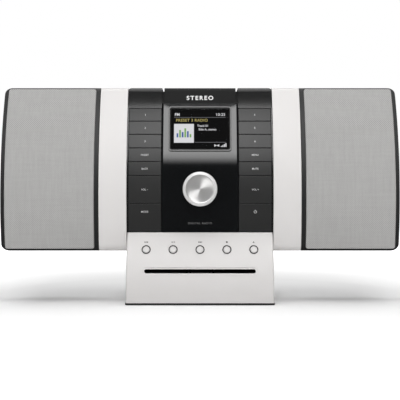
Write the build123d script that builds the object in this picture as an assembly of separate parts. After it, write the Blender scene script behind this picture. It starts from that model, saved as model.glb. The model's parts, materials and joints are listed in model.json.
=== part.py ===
from build123d import *
import os
from math import asin, atan, cos, degrees, radians, sin, sqrt, tan

os.makedirs("parts", exist_ok=True)

# A table stereo: a wide body with a curved front stands on a narrower base with a disc slot.
# Millimetres. +X is the viewer's right, +Y the back, +Z up; the origin is on the floor, mid-width
# and mid-depth. The whole front of the body lies on one cylinder whose axis runs along X.

# ---- overall sizes
BODY_WIDTH = 456.4
BODY_TOP = 250.0
BODY_BOTTOM = 59.3
BODY_DEPTH = 78.0
BASE_DEPTH = 155.0
FRONT_RADIUS = 320.0
FRONT_APEX_Z = 121.0
APEX_SETBACK = 20.0
TOP_ROUND = 8.0
BOTTOM_ROUND = 9.0
REAR_ROUND = 6.0
LEAST_ROUND = 0.5
WALL = 2.5
TOUCH_GAP = 0.3

# ---- widths across the front, as half-widths from the middle plane
INSERT_HALF = 84.2
BAND_WIDTH = 31.85
BAND_OUTER = INSERT_HALF + BAND_WIDTH
CABINET_GAP = 0.6
CABINET_INNER = BAND_OUTER + CABINET_GAP
CABINET_OUTER = BODY_WIDTH / 2
PANEL_HALF = 44.2
HEADER_HALF = 41.9

# ---- base
BASE_SIDE_GAP = 0.9
BASE_HALF = INSERT_HALF - BASE_SIDE_GAP
BASE_PANEL_TOP = 80.8
BASE_PANEL_BOTTOM = 2.5
BASE_RADIUS = 140.0
BASE_APEX_Z = 4.5
BASE_FRONT_DEPTH = 37.5
BASE_EDGE_ROUND = 2.0
BASE_REAR_ROUND = 8.0
PLATE_OVERHANG = 0.6
PLATE_BOTTOM = 0.6

# ---- control insert
INSERT_GAP = 0.3
INSERT_BOTTOM = BASE_PANEL_TOP + INSERT_GAP
RIM_WIDTH = 1.6
KEY_GAP = 0.5
KEY_SIDE_GAP = 0.3
KEY_THICKNESS = 2.6
KEY_TRAVEL = 0.8
KEY_EDGE_ROUND = 0.4
CAP_HEIGHT = 25.3
KEY_SHARES = (1.0, 1.0, 1.0, 1.0, 1.0, 1.97, 2.02)
LEFT_KEYS = ("1", "2", "3", "preset", "back", "volume_down", "mode")
RIGHT_KEYS = ("4", "5", "6", "menu", "mute", "volume_up", "power")
POCKET_DEPTH = KEY_THICKNESS + KEY_TRAVEL + 0.3
CARRIER_THICKNESS = POCKET_DEPTH + 2.5
CORNER_ROUND = 4.0
NOTCH_DEPTH = 4.5
STEM_RADIUS = 1.5
HEADER_HEIGHT = 19.3
HEADER_THICKNESS = 2.4
HEADER_TOP_SHARE = 0.6224
PANEL_THICKNESS = 2.5
PANEL_BEVEL = 2.0
PANEL_BEVEL_DEPTH = 0.7

# ---- display
WINDOW_WIDTH = 66.9
WINDOW_HEIGHT = 48.7
BEZEL_BORDER = 2.8
BEZEL_ROUND = 3.0
BEZEL_PROUD = 1.0
BEZEL_DROP = 4.7
BEZEL_BACK = 5.0
WINDOW_RECESS = 0.7
WINDOW_THICKNESS = 1.5
MODULE_PLATE = 1.5
MODULE_LIP = 3.0
MODULE_GAP = 0.5
WINDOW_CORNER = 1.2
SEAT_GAP = 0.02

# ---- knob and encoder
KNOB_RADIUS = 19.5
KNOB_FACE_RADIUS = 16.1
KNOB_HEIGHT = 14.0
KNOB_GAP = 1.0
KNOB_SHARE = 0.53
KNOB_PUSH = 0.6
KNOB_BEVEL = 1.8
KNOB_DISH = 0.4
KNOB_CAP_THICKNESS = 4.0
KNOB_WALL = 2.0
SHAFT_RADIUS = 3.0
SHAFT_FIT = 0.05
BUSH_RADIUS = 4.5
ENCODER_HALF = 6.5
ENCODER_DEPTH = 8.2
ROTOR_RADIUS = 5.0
ROTOR_LENGTH = 5.0

# ---- boards and switches
BOARD_THICKNESS = 1.6
BOARD_SETBACK = 23.0
SWITCH_SIZE = 6.0
SWITCH_HEIGHT = 3.4
PLUNGER_RADIUS = 1.6
PLUNGER_HEIGHT = 1.0
SWITCH_CLEARANCE = 0.2
SPLIT_Y = 5.0
WEB_THICKNESS = 3.0
MAIN_BOARD_GAP = 3.0
MAIN_BOARD_HALF = 76.0
MAIN_BOARD_DROP = 50.0
BOARD_MARGIN = 3.0
STANDOFF_RADIUS = 3.5
STANDOFF_INSET = 8.0
STANDOFF_ANGLE = 2.0
PAD_OUTER = 6.0
PAD_INNER = 12.0
POST_HALF = 5.0
CABLE_HALF = 25.0
PART_MARGIN = 10.0
PART_HEIGHT = 34.0
TUNER_WIDTH = 38.0
TUNER_DEPTH = 5.0
SINK_X = 10.0
SINK_WIDTH = 50.0
SINK_BACK = 3.0
SINK_DEPTH = 12.0
FIN_COUNT = 8
FIN_THICKNESS = 1.5
CAPACITOR_COUNT = 4
CAPACITOR_X = -50.0
CAPACITOR_PITCH = 14.0
CAPACITOR_RISE = 24.0
CAPACITOR_LENGTH = 9.0
CAPACITOR_RADIUS = 5.0

# ---- speakers
RECESS_DEPTH = 5.5
BAFFLE_THICKNESS = 4.0
CABINET_WALL = 3.0
CABINET_CORNER = 8.5
GRILLE_BORDER_OUTER = 3.8
GRILLE_BORDER_INNER = 4.65
GRILLE_BORDER_TOP = 1.2
GRILLE_BORDER_BOTTOM = 2.4
GRILLE_CORNER = 3.0
CLOTH_GAP = 0.15
CLOTH_RECESS = 0.3
CLOTH_THICKNESS = 1.0
FRAME_BORDER = 7.0
FRAME_RIB = 3.0
FRAME_COLUMNS = 3
FRAME_ROWS = 5
DRIVER_SHARE = 0.42
CONE_RADIUS = 32.0
SURROUND_WIDTH = 4.0
SURROUND_GAP = 0.4
FLANGE_RADIUS = 44.0
FLANGE_THICKNESS = 3.0
SCREW_CIRCLE = 40.4
BASKET_DEPTH = 26.0
BASKET_RING_RADIUS = 24.0
BASKET_PLATE = 3.0
BASKET_WINDOW_WIDTH = 26.0
SEAT_DEPTH = 12.0
MAGNET_THICKNESS = 11.0
MAGNET_BACK = 4.0
SURROUND_THICKNESS = 0.6
COIL_RADIUS = 12.5
COIL_WALL = 0.5
COIL_GAP = 0.4
MAGNET_RADIUS = 28.0
DUST_CAP_RADIUS = 11.0

# ---- disc drive
DISC_RADIUS = 60.0
SLOT_Z = 37.8
SLOT_LENGTH = 125.5
SLOT_HEIGHT = 4.6
RECESS_LENGTH = 129.8
RECESS_HEIGHT = 8.7
SLOT_RECESS_DEPTH = 0.5
BUTTON_Z = 61.8
BUTTON_PITCH = 30.5
BUTTON_RADIUS = 3.95
BUTTON_TRAVEL = 0.8
SUPPORT_INSET = 10.0
SUPPORT_RADIUS = 3.0
DISC_BOARD_INSET = 6.0
DISC_BOARD_HEIGHT = 12.0
RING_RADIUS = 5.1
RING_WALL = 0.85
RING_PROUD = 0.5
DISC_BUTTONS = ("previous", "play", "next", "stop", "eject")
DECK_Z = 22.0
DECK_THICKNESS = 2.0
RAIL_GAP = 4.0
RAIL_WIDTH = 4.0
PATH_HALF_HEIGHT = 2.3
ROLLER_RADIUS = 4.0
ROLLER_SHAFT_RADIUS = 1.5
TURNTABLE_RADIUS = 14.0
HUB_RADIUS = 7.3
SPINDLE_RADIUS = 1.0
ROD_RADIUS = 1.5
ROD_SPACING = 28.0
SLED_TRAVEL = 33.0
SLED_LENGTH = 22.0
LENS_SETBACK = 9.0
LUG_THICKNESS = 3.0
FOOT_RADIUS = 7.0
FOOT_HEIGHT = 1.6

# ---- aerial
AERIAL_X = -100.0
AERIAL_DROP = 16.0
AERIAL_TRAVEL = 150.0
AERIAL_OVERLAP = 36.0
AERIAL_LENGTH = AERIAL_TRAVEL + AERIAL_OVERLAP
AERIAL_RADII = (3.0, 2.3, 1.5)
AERIAL_FIT = 0.05
PIVOT_RADIUS = 1.5

# ---- fasteners and sockets
SCREW_RADIUS = 1.5
SCREW_HEAD_RADIUS = 2.8
SCREW_HEAD = 2.0
SCREW_LENGTH = 12.0
DRIVER_SCREW_LENGTH = 9.0
SCREW_FIT = 0.1
BOSS_RADIUS = 5.5
SOCKET_Z = 81.0
SOCKET_WALL_Y = 22.0
SOCKET_WALL = 2.0
RECESS_HALF_WIDTH = 62.0
RECESS_HALF_HEIGHT = 11.0
VENT_WIDTH = 3.0
VENT_PITCH = 8.0
VENTS_EACH_SIDE = 7
VENT_RISE = 40.0
VENT_DROP = 50.0
SWIVEL_BOSS = 12.0
SWIVEL_BOSS_RADIUS = 8.0
SWIVEL_PIN_RADIUS = 2.0
JACK_RADIUS = 1.8
JACK_DEPTH = 13.5
JACK_NOSE_RADIUS = 3.2
POWER_HOLE_RADIUS = 2.8
POWER_PIN_RADIUS = 1.0
POWER_HALF = 5.5
POWER_DEPTH = 9.0
PIN_SETBACK = 0.8
JACK_HALF = 5.0
USB_HALF_WIDTH = 7.0
USB_HALF_HEIGHT = 3.4
USB_WALL = 0.8
USB_DEPTH = 12.0
USB_FIT = 0.2
SCREW_SEAT_RADIUS = SCREW_HEAD_RADIUS + 0.6
BASE_BOSS_RADIUS = 4.5

# ---- places worked out from the sizes
BASE_FRONT_Y = -BASE_DEPTH / 2
BASE_REAR_Y = BASE_DEPTH / 2
APEX_Y = BASE_FRONT_Y + APEX_SETBACK
ARC_CENTRE_Y = APEX_Y + FRONT_RADIUS
BASE_CENTRE_Y = BASE_FRONT_Y + BASE_RADIUS
BASE_BOSS_LOW = BASE_PANEL_BOTTOM + 2.0
OUTSIDE = FRONT_RADIUS + 30.0
GROOVE_END_ANGLE = 60.0
FAR = 600.0
DEEP = 40.0
PAST = 9.0


def arc_y(z, centre_y, centre_z, radius):
    """Where the front half of a circle of this centre and radius is at height z."""
    return centre_y - sqrt(radius**2 - (z - centre_z) ** 2)


def front_y(z, inset=0.0):
    return arc_y(z, ARC_CENTRE_Y, FRONT_APEX_Z, FRONT_RADIUS - inset)


def base_front_y(z, inset=0.0):
    return arc_y(z, BASE_CENTRE_Y, BASE_APEX_Z, BASE_RADIUS - inset)


# the back is parallel to the front's chord, so the body leans back
LEAN = atan((front_y(BODY_TOP) - front_y(BODY_BOTTOM)) / (BODY_TOP - BODY_BOTTOM))
REAR_BOTTOM_Y = front_y(BODY_BOTTOM) + BODY_DEPTH


def rear_y(z, inset=0.0):
    return REAR_BOTTOM_Y + (z - BODY_BOTTOM) * tan(LEAN) - inset / cos(LEAN)


def block(x0, x1, y0, y1, z0, z1):
    """A box between two corners."""
    centre = Pos((x0 + x1) / 2, (y0 + y1) / 2, (z0 + z1) / 2)
    return centre * Box(abs(x1 - x0), abs(y1 - y0), abs(z1 - z0))


def rod_x(x0, x1, y, z, radius):
    place = Plane(origin=(x0, y, z), x_dir=(0, 1, 0), z_dir=(1, 0, 0))
    return extrude(place * Circle(radius), amount=x1 - x0)


def rod_y(x, y0, y1, z, radius):
    place = Plane(origin=(x, y0, z), x_dir=(1, 0, 0), z_dir=(0, 1, 0))
    return extrude(place * Circle(radius), amount=y1 - y0)


def rod_z(x, y, z0, z1, radius):
    return extrude(Pos(x, y, z0) * Circle(radius), amount=z1 - z0)


def body_section(inset=0.0):
    """The body's outline in the Y-Z plane, moved inwards by inset."""
    low = BODY_BOTTOM + inset
    high = BODY_TOP - inset
    front_low = (front_y(low, inset), low)
    front_high = (front_y(high, inset), high)
    rear_low = (rear_y(low, inset), low)
    rear_high = (rear_y(high, inset), high)
    apex = (APEX_Y + inset, FRONT_APEX_Z)
    curve = ThreePointArc(front_low, apex, front_high)
    rest = Polyline(front_high, rear_high, rear_low, front_low)
    face = make_face(curve + rest)
    rounds = (
        (front_low, BOTTOM_ROUND),
        (front_high, TOP_ROUND),
        (rear_low, REAR_ROUND),
        (rear_high, REAR_ROUND),
    )
    for corner, radius in rounds:
        nearest = face.vertices().sort_by_distance(corner)[0]
        face = fillet(nearest, max(radius - inset, LEAST_ROUND))
    return face


def slab(x0, x1, inset=0.0):
    """The body's outline, moved inwards by inset, between two x planes."""
    return extrude(Plane.YZ.offset(x0) * body_section(inset), amount=x1 - x0)


def shell(x0, x1, outer, inner):
    """The skin of the body between two insets, open at both ends."""
    return slab(x0, x1, outer) - slab(x0 - 1, x1 + 1, inner)


def mirrored(solid):
    return mirror(solid, about=Plane.YZ)


def both_sides(solid):
    return [solid, mirrored(solid)]


def arc_angle(z, radius=FRONT_RADIUS):
    """The angle above the apex, in degrees, of a point of the front at height z."""
    return degrees(asin((z - FRONT_APEX_Z) / radius))


def arc_point(radius, angle):
    y = ARC_CENTRE_Y - radius * cos(radians(angle))
    return (y, FRONT_APEX_Z + radius * sin(radians(angle)))


def arc_plate(x0, x1, inner, outer, low, high):
    """A plate that follows the front, between two radii and two angles."""
    middle = (low + high) / 2
    outside = ThreePointArc(
        arc_point(outer, low), arc_point(outer, middle), arc_point(outer, high)
    )
    inside = ThreePointArc(
        arc_point(inner, high), arc_point(inner, middle), arc_point(inner, low)
    )
    upper = Line(arc_point(outer, high), arc_point(inner, high))
    lower = Line(arc_point(inner, low), arc_point(outer, low))
    face = make_face(outside + upper + inside + lower)
    return extrude(Plane.YZ.offset(x0) * face, amount=x1 - x0)


def front_plane(x, angle, radius=FRONT_RADIUS):
    """A plane that touches the front at this angle, with its normal pointing outwards."""
    y, z = arc_point(radius, angle)
    normal = (0, -cos(radians(angle)), sin(radians(angle)))
    return Plane(origin=(x, y, z), x_dir=(1, 0, 0), z_dir=normal)


def base_plane(x, z):
    """A plane that touches the base's curved front at height z, its normal pointing outwards."""
    lean = asin((z - BASE_APEX_Z) / BASE_RADIUS)
    origin = (x, base_front_y(z), z)
    return Plane(origin=origin, x_dir=(1, 0, 0), z_dir=(0, -cos(lean), sin(lean)))


def post(plane, start, end, radius):
    """A cylinder along a plane's normal between two heights above the plane."""
    return extrude(plane.offset(start) * Circle(radius), amount=end - start)


def tablet(plane, start, end, width, height, corner):
    """A rounded rectangle along a plane's normal between two heights above the plane."""
    face = RectangleRounded(width, height, corner)
    return extrude(plane.offset(start) * face, amount=end - start)


def on_front(edge):
    """Whether an edge lies on the body's front cylinder."""
    centre = edge.position_at(0.5)
    reach = sqrt((ARC_CENTRE_Y - centre.Y) ** 2 + (centre.Z - FRONT_APEX_Z) ** 2)
    return abs(reach - FRONT_RADIUS) < 1e-3


def upright_prism(x0, x1, z0, z1, y0, y1, corner):
    """A rounded rectangle in front view, extruded from y0 back to y1."""
    centre = ((x0 + x1) / 2, y0, (z0 + z1) / 2)
    place = Plane(origin=centre, x_dir=(1, 0, 0), z_dir=(0, 1, 0))
    face = RectangleRounded(abs(x1 - x0), abs(z1 - z0), corner)
    return extrude(place * face, amount=y1 - y0)


def upright_slot(x0, x1, z0, z1, y0, y1):
    """A slot with round ends in front view, cut from y0 back to y1."""
    width = x1 - x0
    height = z1 - z0
    turn = 90 if height > width else 0
    face = Rot(0, 0, turn) * SlotOverall(max(width, height), min(width, height))
    centre = ((x0 + x1) / 2, y0, (z0 + z1) / 2)
    return extrude(Plane(origin=centre, x_dir=(1, 0, 0), z_dir=(0, 1, 0)) * face, amount=y1 - y0)


def save(name, *solids):
    """Write one node, which may be several separate solids."""
    pieces = []
    for solid in solids:
        pieces.extend(solid.solids())
    shape = pieces[0] if len(pieces) == 1 else Compound(children=pieces)
    shape.label = name
    export_step(shape, f"parts/{name}.step")


# ---- angles of the control insert
HEADER_BOTTOM = BODY_TOP - HEADER_HEIGHT
HEADER_ANGLE = arc_angle(HEADER_BOTTOM)
KEYS_TOP_ANGLE = arc_angle(BODY_TOP - CAP_HEIGHT)
KEYS_BOTTOM_ANGLE = arc_angle(INSERT_BOTTOM + KEY_GAP / 2)
GAP_ANGLE = degrees(KEY_GAP / FRONT_RADIUS)
BEZEL_WIDTH = WINDOW_WIDTH + 2 * BEZEL_BORDER
BEZEL_HEIGHT = WINDOW_HEIGHT + 2 * BEZEL_BORDER
DISPLAY_ANGLE = HEADER_ANGLE - degrees((BEZEL_DROP + BEZEL_HEIGHT / 2) / FRONT_RADIUS)
BEZEL_LOW_ANGLE = DISPLAY_ANGLE - degrees(BEZEL_HEIGHT / 2 / FRONT_RADIUS)
BEZEL_LOW_Z = arc_point(FRONT_RADIUS, BEZEL_LOW_ANGLE)[1]
KNOB_Z = BASE_PANEL_TOP + KNOB_SHARE * (BEZEL_LOW_Z - BASE_PANEL_TOP)
KNOB_ANGLE = arc_angle(KNOB_Z)
BOARD_ANGLE = (KEYS_TOP_ANGLE + KEYS_BOTTOM_ANGLE) / 2
CARRIER_HALF = INSERT_HALF - TOUCH_GAP
KEY_OUTER = CARRIER_HALF - RIM_WIDTH - KEY_SIDE_GAP
KEY_INNER = PANEL_HALF + KEY_SIDE_GAP
KEY_X = (KEY_OUTER + KEY_INNER) / 2
WEB_FRONT = SPLIT_Y - WEB_THICKNESS
CARRIER_BACK_RADIUS = FRONT_RADIUS - CARRIER_THICKNESS

display_plane = front_plane(0, DISPLAY_ANGLE)
knob_plane = front_plane(0, KNOB_ANGLE)
board_plane = front_plane(0, BOARD_ANGLE).offset(-BOARD_SETBACK)


def key_angles():
    """The lower and upper angle of each key, from the top one down."""
    unit = (KEYS_TOP_ANGLE - KEYS_BOTTOM_ANGLE) / sum(KEY_SHARES)
    angles = []
    high = KEYS_TOP_ANGLE
    for share in KEY_SHARES:
        low = high - share * unit
        angles.append((low + GAP_ANGLE / 2, high - GAP_ANGLE / 2))
        high = low
    return angles


def board_distance(plane):
    """How far behind a point of the front, along its normal, the key board's front lies."""
    to_board = (board_plane.origin - plane.origin).dot(board_plane.z_dir)
    return to_board / plane.z_dir.dot(board_plane.z_dir)


def front_of_board(depth):
    """A large solid that holds everything further forward than depth before the key board."""
    return extrude(board_plane.offset(depth) * Rectangle(FAR, FAR), amount=FAR)


# ---- screws and the bosses that take them
SCREW_COLUMN = BAND_OUTER - WALL - POST_HALF
SCREW_ROWS = (BODY_BOTTOM + 16, (BODY_BOTTOM + BODY_TOP) / 2, BODY_TOP - 40)
BASE_SCREW_X = BASE_HALF - 2 * BASE_BOSS_RADIUS
BASE_SCREW_YS = (BASE_FRONT_Y + BASE_FRONT_DEPTH + 10, BASE_REAR_Y - 12)
BASE_SCREWS = [(side * BASE_SCREW_X, y) for side in (-1, 1) for y in BASE_SCREW_YS]


def screw(plane, length=SCREW_LENGTH):
    """A pan-head screw whose head rests on the plane and points outwards."""
    head = post(plane, 0, SCREW_HEAD, SCREW_HEAD_RADIUS)
    return head + post(plane, -length, 0, SCREW_RADIUS)


def rear_screw_planes():
    """Where the rear cover's screws sit, on seats sunk into the back."""
    planes = []
    for side in (-1, 1):
        for z in SCREW_ROWS:
            origin = (side * SCREW_COLUMN, SPLIT_Y + WALL, z)
            planes.append(Plane(origin=origin, x_dir=(1, 0, 0), z_dir=(0, 1, 0)))
    return planes


def base_screw_planes():
    planes = []
    for x, y in BASE_SCREWS:
        origin = (x, y, PLATE_BOTTOM + SCREW_HEAD + 0.4)
        planes.append(Plane(origin=origin, x_dir=(1, 0, 0), z_dir=(0, 0, -1)))
    return planes


# ---- body casings
def make_front_frame():
    """Two white bands joined by a web behind the control insert."""
    band = slab(INSERT_HALF, BAND_OUTER)
    band -= slab(INSERT_HALF + WALL, BAND_OUTER - WALL, WALL)
    band += shell(BAND_OUTER - 1, CABINET_INNER, PAD_OUTER, PAD_INNER)
    post_inner = SCREW_COLUMN - POST_HALF
    post_front = SPLIT_Y - WALL - SCREW_LENGTH - 2
    for z in SCREW_ROWS:
        band += block(post_inner, BAND_OUTER - 1, post_front, SPLIT_Y, z - POST_HALF, z + POST_HALF)
    band -= block(-FAR, FAR, SPLIT_Y, FAR, 0, FAR)
    frame = band + mirrored(band)
    frame += block(
        -INSERT_HALF - 1, INSERT_HALF + 1, WEB_FRONT, SPLIT_Y, BODY_BOTTOM, BODY_TOP - WALL
    )
    for side in (-1, 1):
        for angle in (KEYS_BOTTOM_ANGLE + STANDOFF_ANGLE, KEYS_TOP_ANGLE - STANDOFF_ANGLE):
            z = arc_point(FRONT_RADIUS - BOARD_SETBACK, angle)[1]
            x = side * (KEY_OUTER - STANDOFF_INSET)
            standoff = rod_y(x, APEX_Y, WEB_FRONT + 1, z, STANDOFF_RADIUS)
            frame += standoff - front_of_board(-BOARD_THICKNESS)
    for plane in rear_screw_planes():
        frame -= post(plane, -WALL - SCREW_LENGTH - 1, 0, SCREW_RADIUS + SCREW_FIT)
    cable_low = KNOB_Z + KNOB_RADIUS
    frame -= block(
        -CABLE_HALF, CABLE_HALF, WEB_FRONT - 1, SPLIT_Y + 1, cable_low, cable_low + CABLE_HALF
    )
    return frame


def make_rear_cover():
    """A leaning tub that closes the back, with vents, sunk screw seats and a socket recess."""
    half = BAND_OUTER
    inner = half - WALL
    outside = slab(-half, half)
    cover = outside - slab(-inner, inner, WALL)
    wall_z = SOCKET_Z - RECESS_HALF_HEIGHT - SOCKET_WALL
    wall_half = RECESS_HALF_WIDTH + SOCKET_WALL
    wall_top = SOCKET_Z + RECESS_HALF_HEIGHT + SOCKET_WALL
    cover += block(-wall_half, wall_half, SOCKET_WALL_Y, FAR, wall_z, wall_top) & outside
    for plane in rear_screw_planes():
        cover += post(plane, -WALL, FAR, BOSS_RADIUS) & outside
    cover += rod_y(AERIAL_X, AERIAL_BASE_Y - SWIVEL_BOSS, AERIAL_BASE_Y, AERIAL_Z, SWIVEL_BOSS_RADIUS)
    cover -= block(-FAR, FAR, -FAR, SPLIT_Y, 0, FAR)
    cover -= block(
        -RECESS_HALF_WIDTH, RECESS_HALF_WIDTH, SOCKET_MOUTH_Y, FAR,
        SOCKET_Z - RECESS_HALF_HEIGHT, SOCKET_Z + RECESS_HALF_HEIGHT,
    )
    for plane in rear_screw_planes():
        cover -= post(plane, -WALL, 1, SCREW_RADIUS + SCREW_FIT)
        cover -= post(plane, 0, FAR, SCREW_SEAT_RADIUS)
    for x in JACK_XS:
        cover -= rod_y(x, 0, FAR, SOCKET_Z, JACK_NOSE_RADIUS + SCREW_FIT)
    cover -= rod_y(POWER_X, 0, FAR, SOCKET_Z, POWER_NOSE_RADIUS + SCREW_FIT)
    cover -= block(
        USB_X - USB_HALF_WIDTH - USB_FIT, USB_X + USB_HALF_WIDTH + USB_FIT, 0, FAR,
        SOCKET_Z - USB_HALF_HEIGHT - USB_FIT, SOCKET_Z + USB_HALF_HEIGHT + USB_FIT,
    )
    for column in range(-VENTS_EACH_SIDE, VENTS_EACH_SIDE + 1):
        x0 = column * VENT_PITCH - VENT_WIDTH / 2
        x1 = x0 + VENT_WIDTH
        cover -= upright_slot(x0, x1, SOCKET_Z + VENT_RISE, BODY_TOP - VENT_DROP, SOCKET_WALL_Y, FAR)
    return cover - rod_y(
        AERIAL_X, AERIAL_BASE_Y - SWIVEL_BOSS - 1, FAR, AERIAL_Z, SWIVEL_PIN_RADIUS + SHAFT_FIT
    )


# ---- sockets, in a row along the recess
JACK_XS = (-12.0, 12.0)
POWER_X = -44.0
POWER_NOSE_RADIUS = 4.6
USB_X = 42.0
MAIN_BOARD_Y = SPLIT_Y + MAIN_BOARD_GAP
SOCKET_FRONT_Y = MAIN_BOARD_Y + BOARD_THICKNESS
SOCKET_MOUTH_Y = SOCKET_WALL_Y + SOCKET_WALL


def socket_box(x, half_width, half_height, back_y):
    """A socket's body, from the main board back to back_y."""
    low = SOCKET_Z - half_height
    return block(x - half_width, x + half_width, SOCKET_FRONT_Y, back_y, low, low + 2 * half_height)


def socket_bore(x, depth, radius):
    return rod_y(x, SOCKET_MOUTH_Y - depth, SOCKET_MOUTH_Y + 1, SOCKET_Z, radius)


def make_rear_sockets():
    """Two jacks, a power inlet and a service socket, which stand on the main board."""
    sockets = []
    for x in JACK_XS:
        jack = socket_box(x, JACK_HALF, JACK_HALF, SOCKET_WALL_Y)
        jack += rod_y(x, SOCKET_WALL_Y - 1, SOCKET_MOUTH_Y, SOCKET_Z, JACK_NOSE_RADIUS)
        sockets.append(jack - socket_bore(x, JACK_DEPTH, JACK_RADIUS))
    inlet = socket_box(POWER_X, POWER_HALF, POWER_HALF, SOCKET_WALL_Y)
    inlet += rod_y(POWER_X, SOCKET_WALL_Y - 1, SOCKET_MOUTH_Y, SOCKET_Z, POWER_NOSE_RADIUS)
    inlet -= socket_bore(POWER_X, POWER_DEPTH, POWER_HOLE_RADIUS)
    pin_start = SOCKET_MOUTH_Y - POWER_DEPTH - 1
    inlet += rod_y(POWER_X, pin_start, SOCKET_MOUTH_Y - PIN_SETBACK, SOCKET_Z, POWER_PIN_RADIUS)
    sockets.append(inlet)
    service = socket_box(USB_X, USB_HALF_WIDTH, USB_HALF_HEIGHT, SOCKET_MOUTH_Y)
    floor_y = SOCKET_MOUTH_Y - USB_DEPTH
    mouth = USB_HALF_WIDTH - USB_WALL
    mouth_height = USB_HALF_HEIGHT - USB_WALL
    service -= block(
        USB_X - mouth, USB_X + mouth, floor_y, SOCKET_MOUTH_Y + 1,
        SOCKET_Z - mouth_height, SOCKET_Z + mouth_height,
    )
    contacts = mouth - USB_WALL
    service += block(
        USB_X - contacts, USB_X + contacts, floor_y - 0.5, floor_y + 1, SOCKET_Z - 1, SOCKET_Z + 1
    )
    sockets.append(service)
    return sockets


def make_main_board():
    """The main board with its tuner can, heat sink and capacitors, on pads on the web."""
    top = BODY_TOP - MAIN_BOARD_DROP
    low = SOCKET_Z - 2 * JACK_HALF
    face = SOCKET_FRONT_Y
    solids = [block(-MAIN_BOARD_HALF, MAIN_BOARD_HALF, MAIN_BOARD_Y, face, low, top)]
    spacer = MAIN_BOARD_HALF - 2 * STANDOFF_RADIUS
    for x in (-spacer, spacer):
        for z in (low + 2 * STANDOFF_RADIUS, top - 2 * STANDOFF_RADIUS):
            solids.append(rod_y(x, SPLIT_Y, MAIN_BOARD_Y, z, STANDOFF_RADIUS))
    part_top = top - PART_MARGIN
    part_low = part_top - PART_HEIGHT
    can_x = PART_MARGIN - MAIN_BOARD_HALF
    solids.append(block(can_x, can_x + TUNER_WIDTH, face, face + TUNER_DEPTH, part_low, part_top))
    sink = block(SINK_X, SINK_X + SINK_WIDTH, face, face + SINK_BACK, part_low, part_top)
    fin_step = (SINK_WIDTH - FIN_THICKNESS) / (FIN_COUNT - 1)
    for fin in range(FIN_COUNT):
        x = SINK_X + fin * fin_step
        sink += block(x, x + FIN_THICKNESS, face, face + SINK_DEPTH, part_low, part_top)
    solids.append(sink)
    for place in range(CAPACITOR_COUNT):
        x = CAPACITOR_X + place * CAPACITOR_PITCH
        z = SOCKET_Z + CAPACITOR_RISE
        solids.append(rod_y(x, face, face + CAPACITOR_LENGTH, z, CAPACITOR_RADIUS))
    return solids


# ---- speakers
DRIVER_X = (CABINET_INNER + CABINET_OUTER) / 2
DRIVER_Z = BODY_BOTTOM + DRIVER_SHARE * (BODY_TOP - BODY_BOTTOM)
CONE_HOLE_RADIUS = CONE_RADIUS + SURROUND_WIDTH
SEAT_Y = front_y(DRIVER_Z + FLANGE_RADIUS, RECESS_DEPTH + BAFFLE_THICKNESS) + 2
driver_plane = Plane(
    origin=(DRIVER_X, SEAT_Y, DRIVER_Z), x_dir=(1, 0, 0), z_dir=(0, 1, 0)
)
GRILLE_X0 = CABINET_INNER + GRILLE_BORDER_INNER
GRILLE_X1 = CABINET_OUTER - GRILLE_BORDER_OUTER
GRILLE_Z0 = BODY_BOTTOM + GRILLE_BORDER_BOTTOM
GRILLE_Z1 = BODY_TOP - GRILLE_BORDER_TOP
SCREW_OFFSET = SCREW_CIRCLE / sqrt(2)
DRIVER_SCREWS = [(sx * SCREW_OFFSET, sz * SCREW_OFFSET) for sx in (-1, 1) for sz in (-1, 1)]
DRIVER_SCREW_DEPTH = DRIVER_SCREW_LENGTH - FLANGE_THICKNESS + 0.8


def behind_front(x0, x1, inset):
    """A full cylinder that holds everything deeper than inset behind the front."""
    place = Plane(origin=(x0, ARC_CENTRE_Y, FRONT_APEX_Z), x_dir=(0, 1, 0), z_dir=(1, 0, 0))
    return extrude(place * Circle(FRONT_RADIUS - inset), amount=x1 - x0)


def grille_prism(gap):
    """The grille's outline in front view, drawn in by gap, through the cabinet's front."""
    return upright_prism(
        GRILLE_X0 + gap, GRILLE_X1 - gap, GRILLE_Z0 + gap, GRILLE_Z1 - gap,
        BASE_FRONT_Y, SEAT_Y + 40, GRILLE_CORNER,
    )


def cabinet_outline(inset):
    """The cabinet's outside or inside, with its outer corners rounded in front view."""
    x0 = CABINET_INNER + inset
    x1 = CABINET_OUTER - inset
    corner = CABINET_CORNER - inset
    outline = slab(x0, x1, inset)
    rounded = upright_prism(
        x0 - 2 * corner, x1, BODY_BOTTOM + inset, BODY_TOP - inset,
        BASE_FRONT_Y, BASE_REAR_Y, corner,
    )
    return outline & rounded


def make_cabinet():
    """The right-hand cabinet: a closed box with a recess for the grille and a driver seat."""
    cabinet = cabinet_outline(0)
    recess = grille_prism(0) - behind_front(GRILLE_X0 - 1, GRILLE_X1 + 1, RECESS_DEPTH)
    baffle_depth = RECESS_DEPTH + BAFFLE_THICKNESS
    cavity = cabinet_outline(CABINET_WALL) & behind_front(
        CABINET_INNER, CABINET_OUTER, baffle_depth
    )
    cavity -= post(driver_plane, -SEAT_DEPTH, 0, FLANGE_RADIUS + 2)
    cabinet -= cavity
    cabinet -= recess
    cabinet -= post(driver_plane, -DEEP, 1, CONE_HOLE_RADIUS)
    for dx, dz in DRIVER_SCREWS:
        place = driver_plane.location * Pos(dx, dz, 0)
        cabinet -= post(Plane(place), -DRIVER_SCREW_DEPTH, 1, SCREW_RADIUS + SCREW_FIT)
    return cabinet


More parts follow.
